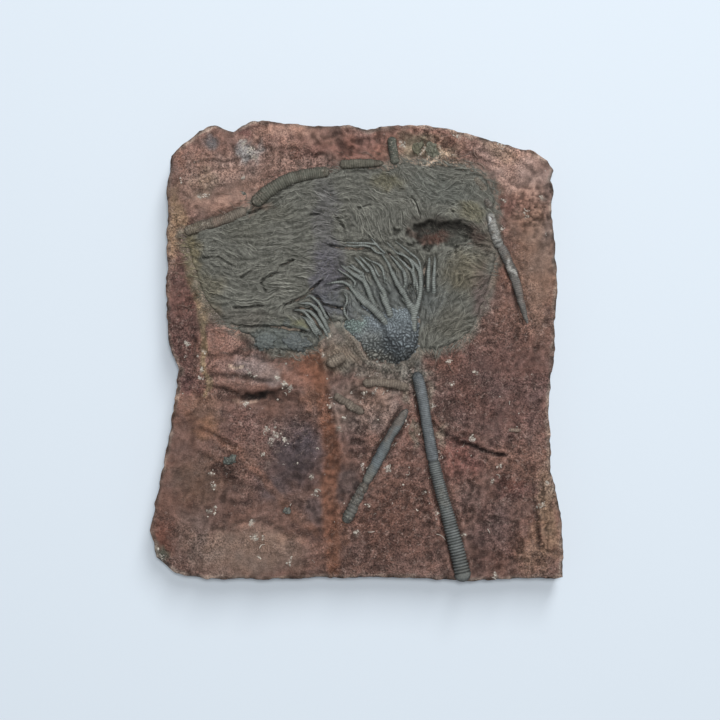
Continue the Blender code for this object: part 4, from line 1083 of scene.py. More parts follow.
def along_route(route, stride, height):
    """Points and radii along a route of (x, y, radius), evenly spaced on a smooth curve."""
    corners = np.array(route, float)
    gaps = np.hypot(*np.diff(corners[:, :2], axis=0).T)
    marks = np.concatenate([[0], np.cumsum(gaps)])
    dense = np.linspace(0, marks[-1], 200)
    smooth = np.array([np.interp(dense, marks, corners[:, axis]) for axis in range(3)]).T
    width = max(3, int(0.5 * 200 / (len(route) - 1)) // 2 * 2 + 1)
    padded = np.pad(smooth, ((width // 2, width // 2), (0, 0)), mode="reflect", reflect_type="odd")
    kernel = np.ones(width) / width
    smooth = np.array([np.convolve(padded[:, axis], kernel, "valid") for axis in range(3)]).T
    steps = max(3, int(round(marks[-1] / stride)))
    wanted = np.linspace(0, marks[-1], steps + 1)
    x, y, radius = (np.interp(wanted, dense, smooth[:, axis]) for axis in range(3))
    points = np.stack([x, y, height(x, y, radius)], axis=1)
    return points, radius, wanted


# ---------------------------------------------------------------------------------------------
# Meshes
# ---------------------------------------------------------------------------------------------


def deselect():
    bpy.ops.object.select_all(action="DESELECT")


def select_only(obj):
    deselect()
    obj.select_set(True)
    bpy.context.view_layer.objects.active = obj


def read_points(mesh):
    points = np.empty(len(mesh.vertices) * 3)
    mesh.vertices.foreach_get("co", points)
    return points.reshape(-1, 3) / MM


def write_points(mesh, points):
    mesh.vertices.foreach_set("co", (points * MM).ravel())
    mesh.update()


def read_normals(mesh):
    normals = np.empty(len(mesh.vertices) * 3)
    mesh.vertex_normals.foreach_get("vector", normals)
    return normals.reshape(-1, 3)


def paint(mesh, colour, debris=0.0):
    """Stores each point's linear colour, and in its alpha how much debris shows there."""
    layer = mesh.color_attributes.new("tint", "FLOAT_COLOR", "POINT")
    values = np.ones((len(mesh.vertices), 4))
    values[:, :3] = np.clip(colour, 0, 1)
    values[:, 3] = debris
    layer.data.foreach_set("color", values.ravel())


def tubes(name, runs, sides):
    """One mesh of closed tubes, each along its points with a radius at every point, in mm."""
    curve = bpy.data.curves.new(name, "CURVE")
    curve.dimensions = "3D"
    curve.bevel_depth = MM
    curve.bevel_resolution = sides // 2 - 2
    curve.twist_mode = "Z_UP"
    for points, radii in runs:
        spline = curve.splines.new("POLY")
        spline.points.add(len(points) - 1)
        places = np.ones((len(points), 4))
        places[:, :3] = points * MM
        spline.points.foreach_set("co", places.ravel())
        spline.points.foreach_set("radius", radii)
    obj = bpy.data.objects.new(name, curve)
    bpy.context.scene.collection.objects.link(obj)
    select_only(obj)
    bpy.ops.object.convert(target="MESH")
    obj = bpy.context.object
    if len(obj.data.vertices) != sides * sum(len(points) for points, _ in runs):
        raise RuntimeError(f"{name}: the tubes don't have {sides} points to a ring")
    bpy.ops.object.mode_set(mode="EDIT")
    bpy.ops.mesh.select_all(action="SELECT")
    bpy.ops.mesh.fill_holes(sides=sides)
    bpy.ops.mesh.select_all(action="SELECT")
    bpy.ops.mesh.normals_make_consistent(inside=False)
    bpy.ops.object.mode_set(mode="OBJECT")
    return obj


def per_point(runs, values, sides):
    """Values given for every run, or for every point of the runs, spread over the tubes' points."""
    counts = [len(points) for points, _ in runs]
    if len(values) == len(runs) and np.ndim(values[0]) == 0:
        values = np.repeat(values, counts)
    else:
        values = np.concatenate(values)
    return np.repeat(values, sides)


def crest_shade(mesh, low, high):
    """Painted shade on round pieces: from low on their flanks, which face away from the light, to high
    on their crests.
    """
    upward = np.clip(read_normals(mesh)[:, 2], -0.2, 1)
    return low + (high - low) * smooth_step((upward + 0.1) / 1.0)


def finish_piece(obj, material, node=None):
    """Shades a piece, gives it its material and ties it to the model."""
    obj.data.materials.clear()
    obj.data.materials.append(material)
    obj.data.shade_smooth()
    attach(obj, BODY)
    if node:
        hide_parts(node)


# ---------------------------------------------------------------------------------------------
# Materials
# ---------------------------------------------------------------------------------------------


def add_node(tree, kind, **settings):
    node = tree.nodes.new(kind)
    for name, value in settings.items():
        setattr(node, name, value)
    return node


def feed(tree, socket, value):
    """Links a socket to another, or sets it to a plain value or colour."""
    if isinstance(value, bpy.types.NodeSocket):
        tree.links.new(value, socket)
    elif np.isscalar(value):
        socket.default_value = value
    else:
        socket.default_value = (*value, 1.0)


def mix_colours(tree, factor, first, second, blend="MIX"):
    node = add_node(tree, "ShaderNodeMix", data_type="RGBA", blend_type=blend)
    for socket, value in zip((node.inputs[0], *node.inputs[6:8]), (factor, first, second)):
        feed(tree, socket, value)
    return node.outputs[2]


def remap(tree, value, low, high, to_low=0.0, to_high=1.0):
    node = add_node(tree, "ShaderNodeMapRange", interpolation_type="SMOOTHSTEP")
    for name, given in zip(
        ("Value", "From Min", "From Max", "To Min", "To Max"), (value, low, high, to_low, to_high)
    ):
        feed(tree, node.inputs[name], given)
    return node.outputs["Result"]


def noise_value(tree, place, scale, detail=3.0, distortion=0.0, roughness=0.5):
    node = add_node(tree, "ShaderNodeTexNoise")
    for name, given in (
        ("Vector", place), ("Scale", scale), ("Detail", detail), ("Roughness", roughness),
        ("Distortion", distortion),
    ):
        feed(tree, node.inputs[name], given)
    return node.outputs["Fac"]


def arithmetic(tree, operation, first, second=0.0):
    node = add_node(tree, "ShaderNodeMath", operation=operation)
    feed(tree, node.inputs[0], first)
    feed(tree, node.inputs[1], second)
    return node.outputs[0]


def grey_of(tree, value):
    node = add_node(tree, "ShaderNodeCombineColor")
    for socket in node.inputs:
        tree.links.new(value, socket)
    return node.outputs["Color"]


def new_group(name, inputs, outputs):
    """An empty node group with its named sockets."""
    tree = bpy.data.node_groups.new(name, "ShaderNodeTree")
    for socket, kind in inputs:
        tree.interface.new_socket(name=socket, in_out="INPUT", socket_type="NodeSocket" + kind)
    for socket, kind in outputs:
        tree.interface.new_socket(name=socket, in_out="OUTPUT", socket_type="NodeSocket" + kind)
    return tree, tree.nodes.new("NodeGroupInput"), tree.nodes.new("NodeGroupOutput")


def mottle_group():
    """Stone colour broken up by dark and pale patches of two sizes and a fine speckle."""
    tree, inside, outside = new_group(
        "stone_mottle",
        [("Place", "Vector"), ("Colour", "Color"), ("Dark", "Color"), ("Pale", "Color"),
         ("Scale", "Float"), ("Strength", "Float"), ("Speckle", "Float")],
        [("Colour", "Color")],
    )
    place, scale = inside.outputs["Place"], inside.outputs["Scale"]
    patchy = noise_value(tree, place, arithmetic(tree, "MULTIPLY", scale, 0.15), 3.0, 0.5)
    uneven = remap(tree, patchy, 0.38, 0.62, 0.35, 1.25)
    strength = arithmetic(tree, "MULTIPLY", inside.outputs["Strength"], uneven)
    broad = noise_value(tree, place, scale, 5.0, 0.8, 0.62)
    mask = arithmetic(tree, "MULTIPLY", remap(tree, broad, 0.50, 0.66), strength)
    colour = mix_colours(tree, mask, inside.outputs["Colour"], inside.outputs["Dark"])
    narrow = noise_value(tree, place, arithmetic(tree, "MULTIPLY", scale, 2.3), 5.0, 1.0, 0.62)
    mask = arithmetic(tree, "MULTIPLY", remap(tree, narrow, 0.52, 0.68), strength)
    colour = mix_colours(tree, mask, colour, inside.outputs["Pale"])
    fine = noise_value(tree, place, arithmetic(tree, "MULTIPLY", scale, 6.0), 4.0, 0.4, 0.7)
    swing = arithmetic(tree, "MULTIPLY", inside.outputs["Speckle"], uneven)
    low = arithmetic(tree, "SUBTRACT", 1.0, swing)
    high = arithmetic(tree, "ADD", 1.0, swing)
    shade = grey_of(tree, remap(tree, fine, 0.34, 0.66, low, high))
    tree.links.new(mix_colours(tree, 1.0, colour, shade, "MULTIPLY"), outside.inputs["Colour"])
    return tree


def grain_group():
    """Height of a stone's grain, lumps under fine crystals, and the roughness that goes with it."""
    tree, inside, outside = new_group(
        "stone_grain",
        [("Place", "Vector"), ("Scale", "Float")],
        [("Height", "Float"), ("Roughness", "Float")],
    )
    place, scale = inside.outputs["Place"], inside.outputs["Scale"]
    lumps = noise_value(tree, place, scale, 6.0, 0.5, 0.65)
    crystals = add_node(tree, "ShaderNodeTexVoronoi")
    tree.links.new(place, crystals.inputs["Vector"])
    tree.links.new(arithmetic(tree, "MULTIPLY", scale, 2.2), crystals.inputs["Scale"])
    fine = arithmetic(tree, "MULTIPLY", crystals.outputs["Distance"], 0.3)
    tree.links.new(arithmetic(tree, "SUBTRACT", lumps, fine), outside.inputs["Height"])
    tree.links.new(remap(tree, lumps, 0.3, 0.7, 0.95, 0.7), outside.inputs["Roughness"])
    return tree


def fleck_group():
    """Mask of pale, winding threads and specks of calcite, as many as Amount asks for."""
    tree, inside, outside = new_group(
        "calcite_flecks",
        [("Place", "Vector"), ("Scale", "Float"), ("Amount", "Float")],
        [("Mask", "Float")],
    )
    place, scale = inside.outputs["Place"], inside.outputs["Scale"]
    winding = noise_value(tree, place, scale, 2.0, 1.6)
    off_middle = arithmetic(tree, "ABSOLUTE", arithmetic(tree, "SUBTRACT", winding, 0.5))
    thread = remap(tree, off_middle, 0.02, 0.055, 1.0, 0.0)
    where = noise_value(tree, place, arithmetic(tree, "MULTIPLY", scale, 0.6), 3.0, 0.5)
    level = arithmetic(
        tree, "SUBTRACT", 0.74, arithmetic(tree, "MULTIPLY", inside.outputs["Amount"], 0.3)
    )
    over = arithmetic(tree, "SUBTRACT", where, level)
    present = remap(tree, over, 0.0, 0.06)
    tree.links.new(arithmetic(tree, "MULTIPLY", thread, present), outside.inputs["Mask"])
    return tree


def place_group(tree, maker, place, **values):
    """Adds a shared group, which its maker builds the first time it is asked for."""
    name = GROUP_NAMES[maker]
    node = add_node(tree, "ShaderNodeGroup")
    node.node_tree = bpy.data.node_groups.get(name) or maker()
    tree.links.new(place, node.inputs["Place"])
    for socket, value in values.items():
        feed(tree, node.inputs[socket], value)
    return node


GROUP_NAMES = {
    mottle_group: "stone_mottle", grain_group: "stone_grain", fleck_group: "calcite_flecks",
}


def stone_material(
    name, dark, pale, mottle, strength, speckle, grain, bump, flecks=0.0, fleck=(0.52, 0.47, 0.42),
):
    """A stone whose colour is the mesh's tint, mottled, grained and flecked."""
    material = bpy.data.materials.new(name)
    material.use_nodes = True
    tree = material.node_tree
    surface = tree.nodes["Principled BSDF"]
    surface.inputs["Specular IOR Level"].default_value = 0.3
    place = add_node(tree, "ShaderNodeTexCoord").outputs["Object"]
    tint = add_node(tree, "ShaderNodeAttribute", attribute_name="tint")
    mottled = place_group(
        tree, mottle_group, place, Colour=tint.outputs["Color"], Dark=dark, Pale=pale,
        Scale=mottle, Strength=strength, Speckle=speckle,
    )
    colour = mottled.outputs["Colour"]
    if flecks:
        amount = arithmetic(tree, "MULTIPLY", tint.outputs["Alpha"], flecks)
        mask = place_group(tree, fleck_group, place, Scale=260.0, Amount=amount).outputs["Mask"]
        colour = mix_colours(tree, mask, colour, fleck)
    tree.links.new(colour, surface.inputs["Base Color"])
    grained = place_group(tree, grain_group, place, Scale=grain)
    tree.links.new(grained.outputs["Roughness"], surface.inputs["Roughness"])
    relief = add_node(tree, "ShaderNodeBump")
    relief.inputs["Strength"].default_value = 1.0
    relief.inputs["Distance"].default_value = bump * MM
    tree.links.new(grained.outputs["Height"], relief.inputs["Height"])
    tree.links.new(relief.outputs["Normal"], surface.inputs["Normal"])
    return material


# ---------------------------------------------------------------------------------------------
# Settings
# ---------------------------------------------------------------------------------------------


class FossilRockSettings(bpy.types.PropertyGroup):
    cell: FloatProperty(
        name="Cell", description="Spacing of the points over the rock's face",
        default=1.0 * MM, min=0.5 * MM, max=10 * MM, unit="LENGTH",
    )
    side_rows: IntProperty(
        name="Side rows", description="Rows of faces down the broken sides", default=14, min=4,
    )
    roughness: FloatProperty(
        name="Roughness", description="How strongly the broken face undulates, as a share",
        default=1.0, min=0.0, max=3.0, subtype="FACTOR",
    )
    side_relief: FloatProperty(
        name="Side relief", description="Depth of the breaks in the sides",
        default=2.4 * MM, min=0.0, unit="LENGTH",
    )
    # This share darkens the rock's hollows and lightens its knobs: grime and painted shade.
    grime_and_shade: FloatProperty(
        name="Grime and shade", description="How much darker the hollows are than the knobs",
        default=0.6, min=0.0, max=1.0, subtype="FACTOR",
    )


class FossilCrownSettings(bpy.types.PropertyGroup):
    spacing: FloatProperty(
        name="Pinnule spacing", description="Mean distance between the pinnules' middles",
        default=1.35 * MM, min=0.8 * MM, unit="LENGTH",
    )
    width: FloatProperty(
        name="Pinnule width", description="Thickness of one pinnule", default=0.62 * MM,
        min=0.2 * MM, unit="LENGTH",
    )
    long_width: FloatProperty(
        name="Long pinnule width", description="Thickness of the pinnules that stand out",
        default=1.05 * MM, min=0.2 * MM, unit="LENGTH",
    )


class FossilStemSettings(bpy.types.PropertyGroup):
    groove: FloatProperty(
        name="Ring groove", description="Depth of the grooves between rings, as a share of the radius",
        default=0.13, min=0.0, max=0.5, subtype="FACTOR",
    )
    arm_colour: FloatVectorProperty(
        name="Arm colour", description="Colour of the free arms", subtype="COLOR",
        default=tuple(srgb(130, 135, 131)), min=0.0, max=1.0,
    )


class FossilCalyxSettings(bpy.types.PropertyGroup):
    cell: FloatProperty(
        name="Cell", description="Spacing of the points over the cup", default=0.35 * MM,
        min=0.2 * MM, unit="LENGTH",
    )
    plate: FloatProperty(
        name="Plate size", description="Width of one plate of the cup", default=2.4 * MM,
        min=0.5 * MM, unit="LENGTH",
    )
    plate_relief: FloatProperty(
        name="Plate relief", description="Depth of the seams between plates", default=0.9 * MM,
        min=0.0, unit="LENGTH",
    )
    colour: FloatVectorProperty(
        name="Cup colour", description="Colour of the cup's plates", subtype="COLOR",
        default=tuple(srgb(128, 136, 141)), min=0.0, max=1.0,
    )


class FossilStageSettings(bpy.types.PropertyGroup):
    view_width: FloatProperty(
        name="View width", description="Width of the view at the fossil face",
        default=468 * MM, min=0.1, unit="LENGTH",
    )
    camera_height: FloatProperty(
        name="Camera height", description="Height of the camera over the face", default=1.6,
        min=0.5, unit="LENGTH",
    )
    floor: FloatVectorProperty(
        name="Floor colour", description="Colour of the pale floor", subtype="COLOR",
        default=(0.72, 0.80, 0.88), min=0.0, max=1.0,
    )


# ---------------------------------------------------------------------------------------------
# Rock
# ---------------------------------------------------------------------------------------------


def edge_run(points, count=900):
    """A function that gives places along one run of the broken outline, by share of its length."""
    corners = np.array(points, float)
    marks = np.concatenate([[0], np.cumsum(np.hypot(*np.diff(corners, axis=0).T))])
    dense = np.linspace(0, marks[-1], count)
    x, y = (np.interp(dense, marks, corners[:, axis]) for axis in range(2))
    fade = smooth_step(np.minimum(dense, marks[-1] - dense) / 5)
    run_x, run_y = np.gradient(x), np.gradient(y)
    length = np.hypot(run_x, run_y)
    outward = 0.6 * soft_noise(x, y, 13, 51) + 0.55 * soft_noise(x, y, 6, 52)
    outward += 0.45 * soft_noise(x, y, 2.8, 53) + 0.15
    x = x - run_y / length * outward * fade
    y = y + run_x / length * outward * fade
    shares = dense / marks[-1]
    return lambda share: (np.interp(share, shares, x), np.interp(share, shares, y))


def patch_between(u, v):
    """Places inside the outline for shares u across and v up it."""
    runs = (OUTLINE_LEFT, OUTLINE_TOP, OUTLINE_RIGHT, OUTLINE_BOTTOM)
    left, top, right, bottom = (edge_run(run) for run in runs)
    places = []
    for axis in range(2):
        corners = (
            (1 - u) * (1 - v) * OUTLINE_LEFT[0][axis] + (1 - u) * v * OUTLINE_TOP[0][axis]
            + u * v * OUTLINE_RIGHT[0][axis] + u * (1 - v) * OUTLINE_BOTTOM[0][axis]
        )
        across = (1 - u) * left(v)[axis] + u * right(1 - v)[axis]
        up = (1 - v) * bottom(1 - u)[axis] + v * top(u)[axis]
        places.append(across + up - corners)
    return places


def clusters(x, y):
    """Brightness of the white calcite clusters, from 0 to 1."""
    mask = np.zeros(len(x))
    for centre_x, centre_y, size, strength in CLUSTERS:
        near = (np.abs(x - centre_x) < 2.5 * size) & (np.abs(y - centre_y) < 2.5 * size)
        px, py = x[near], y[near]
        wander_x = px + 0.7 * size * soft_noise(px, py, 1.6, 63)
        wander_y = py + 0.7 * size * soft_noise(px, py, 1.6, 64)
        reach = np.hypot(wander_x - centre_x, wander_y - centre_y) / size
        broken = 0.75 + 0.5 * soft_noise(px, py, 1.3, 65)
        mask[near] = np.maximum(mask[near], strength * smooth_step(1.7 - 1.4 * reach) * broken)
    return np.clip(mask, 0, 1)


def rock_colour(x, y):
    """Linear colours of the rock's face, before its hollows get their grime and painted shade."""
    colour = painted(x, y, ROCK_BASE, ROCK_PATCHES, ROCK_VEINS)
    crown = inside_depth(x, y, CROWN_EDGE)
    near_crown = smooth_step(1.0 + crown / 6 + 0.45 * soft_noise(x, y, 4, 66))
    colour += (srgb(108, 104, 95) - colour) * (0.75 * near_crown)[:, None]
    for line in ROCK_VEINLETS:
        distance = line_distance(x + 0.5 * soft_noise(x, y, 2, 67), y, line)
        mask = 0.85 * np.exp(-((distance / 0.75) ** 2))
        colour += (srgb(198, 178, 158) - colour) * mask[:, None]
    rim = smooth_step(1.3 - rim_distance(x, y) / 2.2 + 0.5 * soft_noise(x, y, 4, 68))
    broken = smooth_step(0.5 + 1.2 * soft_noise(x, y, 9, 69))[:, None]
    rim_tone = srgb(100, 86, 78) + (srgb(168, 150, 136) - srgb(100, 86, 78)) * broken
    colour += (rim_tone - colour) * (0.6 * rim)[:, None]
    warmth = 0.5 * soft_noise(x, y, 17, 73) + 0.4 * soft_noise(x, y, 6, 74)
    colour = colour * (1 + warmth[:, None] * (0.09, -0.02, -0.10))
    tone = 1 + 0.17 * np.clip((y - 0.5 * x + 60) / 150, 0, 1)
    tone += 0.2 * np.clip((y - 118) / 12, 0, 1)
    tone += 0.18 * soft_noise(x, y, 24, 75) + 0.12 * soft_noise(x, y, 8, 76)
    colour = colour * tone[:, None]
    flecks = clusters(x, y)
    return colour + (srgb(190, 184, 172) - colour) * (0.55 * flecks)[:, None]


def find_debris(x, y):
    """How much calcite debris shows, from 0 to 1: thick in clusters and along the stems."""
    debris = 0.06 + 0.25 * np.clip(soft_noise(x, y, 14, 58), 0, 1)
    debris += 0.14 * in_patch(x, y, 5, -60, 60, 50)
    for centre_x, centre_y, size, strength in CLUSTERS:
        reach = np.hypot(x - centre_x, y - centre_y) / size
        debris += strength * 1.2 * smooth_step(2.2 - reach)
    for lift, pitch, fullness, colour, route in STEMS.values():
        distance = line_distance(x, y, [(px, py) for px, py, _ in route])
        gap = distance - route[len(route) // 2][2] * fullness
        debris += 0.3 * np.exp(-((gap - 2) / 2.5) ** 2)
    return np.clip(debris, 0, 1)


class FOSSIL_OT_rock(bpy.types.Operator):
    """Make the broken limestone slab"""

    bl_idname = "fossil.rock"
    bl_label = "Rock"

    def execute(self, context):
        settings = context.scene.fossil_rock
        cell = settings.cell / MM
        columns = round(266 / cell)
        rows = round(298 / cell)
        deselect()
        bpy.ops.mesh.primitive_grid_add(x_subdivisions=columns, y_subdivisions=rows, size=1.0)
        rock = context.object
        rock.name = "rock"
        mesh = rock.data
        grid = read_points(mesh) * MM
        grid -= grid.min(axis=0)
        grid[:, :2] /= grid[:, :2].max(axis=0)
        x, y = patch_between(grid[:, 0], grid[:, 1])
        height = rock_height(x, y, settings.roughness)
        top_count = len(x)
        write_points(mesh, np.stack([x, y, height], axis=1))
        self.drop_sides(settings.side_rows)
        self.break_sides(mesh, top_count, settings)
        points = read_points(mesh)
        side = points[top_count:]
        colour = np.empty((len(points), 3))
        # Painted shade and grime: the face darker in its hollows and lighter on its knobs.
        raised = stand_out(height, columns + 1, 3) + 0.15 * stand_out(height, columns + 1, 9)
        colour[:top_count] = self.with_grime_and_shade(rock_colour(x, y), raised, settings.grime_and_shade)
        layered = side[:, 2] + 0.15 * side[:, 0] + 0.1 * side[:, 1]
        colour[top_count:] = painted(side[:, 0], side[:, 1], ROCK_BASE, ROCK_PATCHES) * (
            1 + 0.2 * soft_noise(layered * 6, side[:, 0] * 0.3, 5, 56)
            + 0.12 * soft_noise(layered * 20, side[:, 0] + side[:, 1], 5, 57)
        )[:, None]
        paint(mesh, colour, find_debris(points[:, 0], points[:, 1]))
        material = stone_material(
            "broken_limestone", srgb(68, 48, 46), srgb(172, 150, 140), 150.0, 0.33, 0.52, 560.0,
            1.5, 0.6, (0.6, 0.56, 0.5),
        )
        finish_piece(rock, material, "matrix_slab")
        return {"FINISHED"}

    def with_grime_and_shade(self, colour, raised, grime_and_shade):
        """Darkens the hollows and lightens the knobs, as grime and painted shade."""
        shade = 1 + grime_and_shade * np.tanh(raised / 0.75)
        return colour * shade[:, None]

    def drop_sides(self, side_rows):
        """Draws the rim down to the back in rows and closes the back."""
        bpy.ops.object.mode_set(mode="EDIT")
        bpy.ops.mesh.select_mode(type="EDGE")
        bpy.ops.mesh.select_all(action="SELECT")
        bpy.ops.mesh.region_to_loop()
        for _ in range(side_rows):
            bpy.ops.mesh.extrude_edges_move(TRANSFORM_OT_translate={"value": (0, 0, -0.1)})
        bpy.ops.mesh.edge_face_add()
        bpy.ops.mesh.select_all(action="SELECT")
        bpy.ops.mesh.normals_make_consistent(inside=False)
        bpy.ops.object.mode_set(mode="OBJECT")

    def break_sides(self, mesh, top_count, settings):
        """Roughens the sides, layer by layer, and lays the back flat."""
        points = read_points(mesh)
        outward = read_normals(mesh)[top_count:, :2]
        outward /= np.maximum(np.linalg.norm(outward, axis=1), 1e-6)[:, None]
        x, y = points[top_count:, 0], points[top_count:, 1]
        rim = rock_height(x, y, settings.roughness)
        row = np.round((rim - points[top_count:, 2]) * MM / 0.1)
        share = row / settings.side_rows
        height = rim * (1 - share)
        depth = settings.side_relief / MM
        broken = np.array([
            noise.fractal(Vector((px / 9, py / 9, pz / 5)), 0.8, 2.1, 4)
            for px, py, pz in zip(x, y, height)
        ])
        layers = np.tanh(3 * soft_noise(height * 4, x * 0.3 + y * 0.3, 7, 55))
        # The outline of the back stays smooth, so that its one face doesn't cross itself
        above_back = smooth_step((1 - share) * 5)
        push = depth * above_back * (0.85 * broken + 0.25 * layers - 0.55)
        push = (push - 0.4) * np.minimum(row / 2, 1)
        push = np.minimum(push, 0.3)
        points[top_count:, 0] += outward[:, 0] * push
        points[top_count:, 1] += outward[:, 1] * push
        points[top_count:, 2] = height
        write_points(mesh, points)


# ---------------------------------------------------------------------------------------------
# Crown
# ---------------------------------------------------------------------------------------------


def crown_colour(x, y):
    """Colours of the crown, turning into the rock's around it."""
    colour = painted(x, y, CROWN_BASE, CROWN_PATCHES)
    grain = 0.21 * soft_noise(x, y, 1.0, 85) + 0.14 * soft_noise(x, y, 2.2, 81)
    colour *= (1 + grain + 0.12 * soft_noise(x, y, 9, 82))[:, None]
    # Painted shade inside the hollow.
    pit = smooth_step(hollow_depth(x, y) / 4)
    colour *= (1 - 0.35 * pit)[:, None]
    floor = in_patch(x + 1.5 * soft_noise(x, y, 3, 83), y + soft_noise(x, y, 2, 84), 50, 73, 8, 3)
    colour += (srgb(112, 80, 70) - colour) * (0.6 * floor)[:, None]
    outside = smooth_step(-inside_depth(x, y, CROWN_EDGE) / 7)
    return colour + (rock_colour(x, y) * 1.1 - colour) * (0.8 * outside)[:, None]


def fuzz(x, y):
    """How tangled the pinnules are, from 0 where they run together to 1 where they don't."""
    tangled = np.full(x.shape, 0.46)
    for area in (
        (66, 103, 26, 14), (68, 34, 22, 26), (6, 111, 26, 8), (-70, 78, 24, 10), (-100, 64, 9, 20),
        (-30, 96, 20, 10), (-70, 22, 20, 8),
    ):
        tangled = np.maximum(tangled, 0.8 * in_patch(x, y, *area))
    return tangled


def scatter_pinnules(outline, spacing, width, seed):
    """Tube runs for the short pinnules of one mat, which thin out past the crown's edge."""
    draw = np.random.default_rng(seed)
    low = np.min(outline, axis=0) - 7
    high = np.max(outline, axis=0) + 7
    count = int((high - low).prod() / spacing**2)
    x = draw.uniform(low[0], high[0], count)
    y = draw.uniform(low[1], high[1], count)
    crown = inside_depth(x, y, CROWN_EDGE)
    own = inside_depth(x, y, outline)
    fringe = 3.2 if outline[0][0] < 0 else 2.0
    kept = (own > 0) | ((crown < 0) & (own >= crown - 0.01))
    kept &= draw.random(count) < np.exp(np.minimum(crown, 0) / fringe)
    kept &= (inside_depth(x, y, CALYX_EDGE) < 0) & (slab_depth(x, y) > 4)
    kept &= FLOW.on_grid(FLOW.arm_gap, x, y) > 0.6
    kept &= pebbly(x, y) < draw.uniform(0.02, 0.5, count)
    x, y = x[kept], y[kept]
    tangled = fuzz(x, y)
    clear = draw.random(len(x)) < 0.15
    bend = draw.normal(0, 0.14 + 0.9 * tangled, len(x)) * np.where(clear, 0.5, 1)
    curl = draw.uniform(0.15, 0.7, len(x)) * np.where(clear, 0.5, 1)
    phase = draw.uniform(0, 2 * math.pi, len(x))
    steps = 8
    stride = draw.uniform(0.5, 0.9, len(x)) * (1 - 0.35 * tangled) * np.where(clear, 1.8, 1)
    path_x, path_y = FLOW.trace(x, y, steps, stride, seed, bend, curl, phase)
    inside = np.minimum(slab_depth(path_x[-1], path_y[-1]), slab_depth(path_x[4], path_y[4])) > 2
    lie = draw.uniform(-0.25, 0.35, len(x)) + np.where(clear, 0.35, 0)
    share = np.linspace(0, 1, steps + 1)
    arch = np.sin(math.pi * share) ** 0.6
    radius = 0.5 * width * draw.uniform(0.75, 1.1, len(x)) * np.where(clear, 1.35, 0.92)
    # Random tone for each pinnule; the clear pinnules, which lie higher, also get a painted highlight.
    shades = draw.uniform(0.72, 1.05, len(x)) + np.where(clear, 0.18, 0)
    runs = []
    for index in np.flatnonzero(inside):
        px, py = path_x[:, index], path_y[:, index]
        height = FLOW.ground_height(px, py) - 0.4 + (0.4 + lie[index]) * arch
        radii = radius[index] * (0.45 + 0.55 * arch)
        runs.append((np.stack([px, py, height], axis=1), radii))
    return runs, shades[inside]


def long_pinnule_runs(outline, width, seed):
    """Tube runs for the long pinnules whose middles lie in one mat."""
    draw = np.random.default_rng(seed)
    runs = []
    for line in LONG_PINNULES:
        middle = np.mean(line, axis=0)
        if inside_depth(middle[:1], middle[1:], outline)[0] < 0:
            continue
        radius = 0.5 * width * draw.uniform(0.9, 1.15)
        route = [(x, y, radius) for x, y in line]
        points, radii, marks = along_route(
            route, 0.9, lambda x, y, r: FLOW.on_grid(FLOW.level, x, y) + 0.55
        )
        wave = 0.25 * np.sin(marks * 1.7 + draw.uniform(0, 6))
        points[:, 1] += wave
        ends = np.sin(math.pi * np.linspace(0.02, 0.98, len(points))) ** 0.4
        points[:, 2] -= 0.9 * (1 - ends)
        runs.append((points, radii * ends))
    return runs


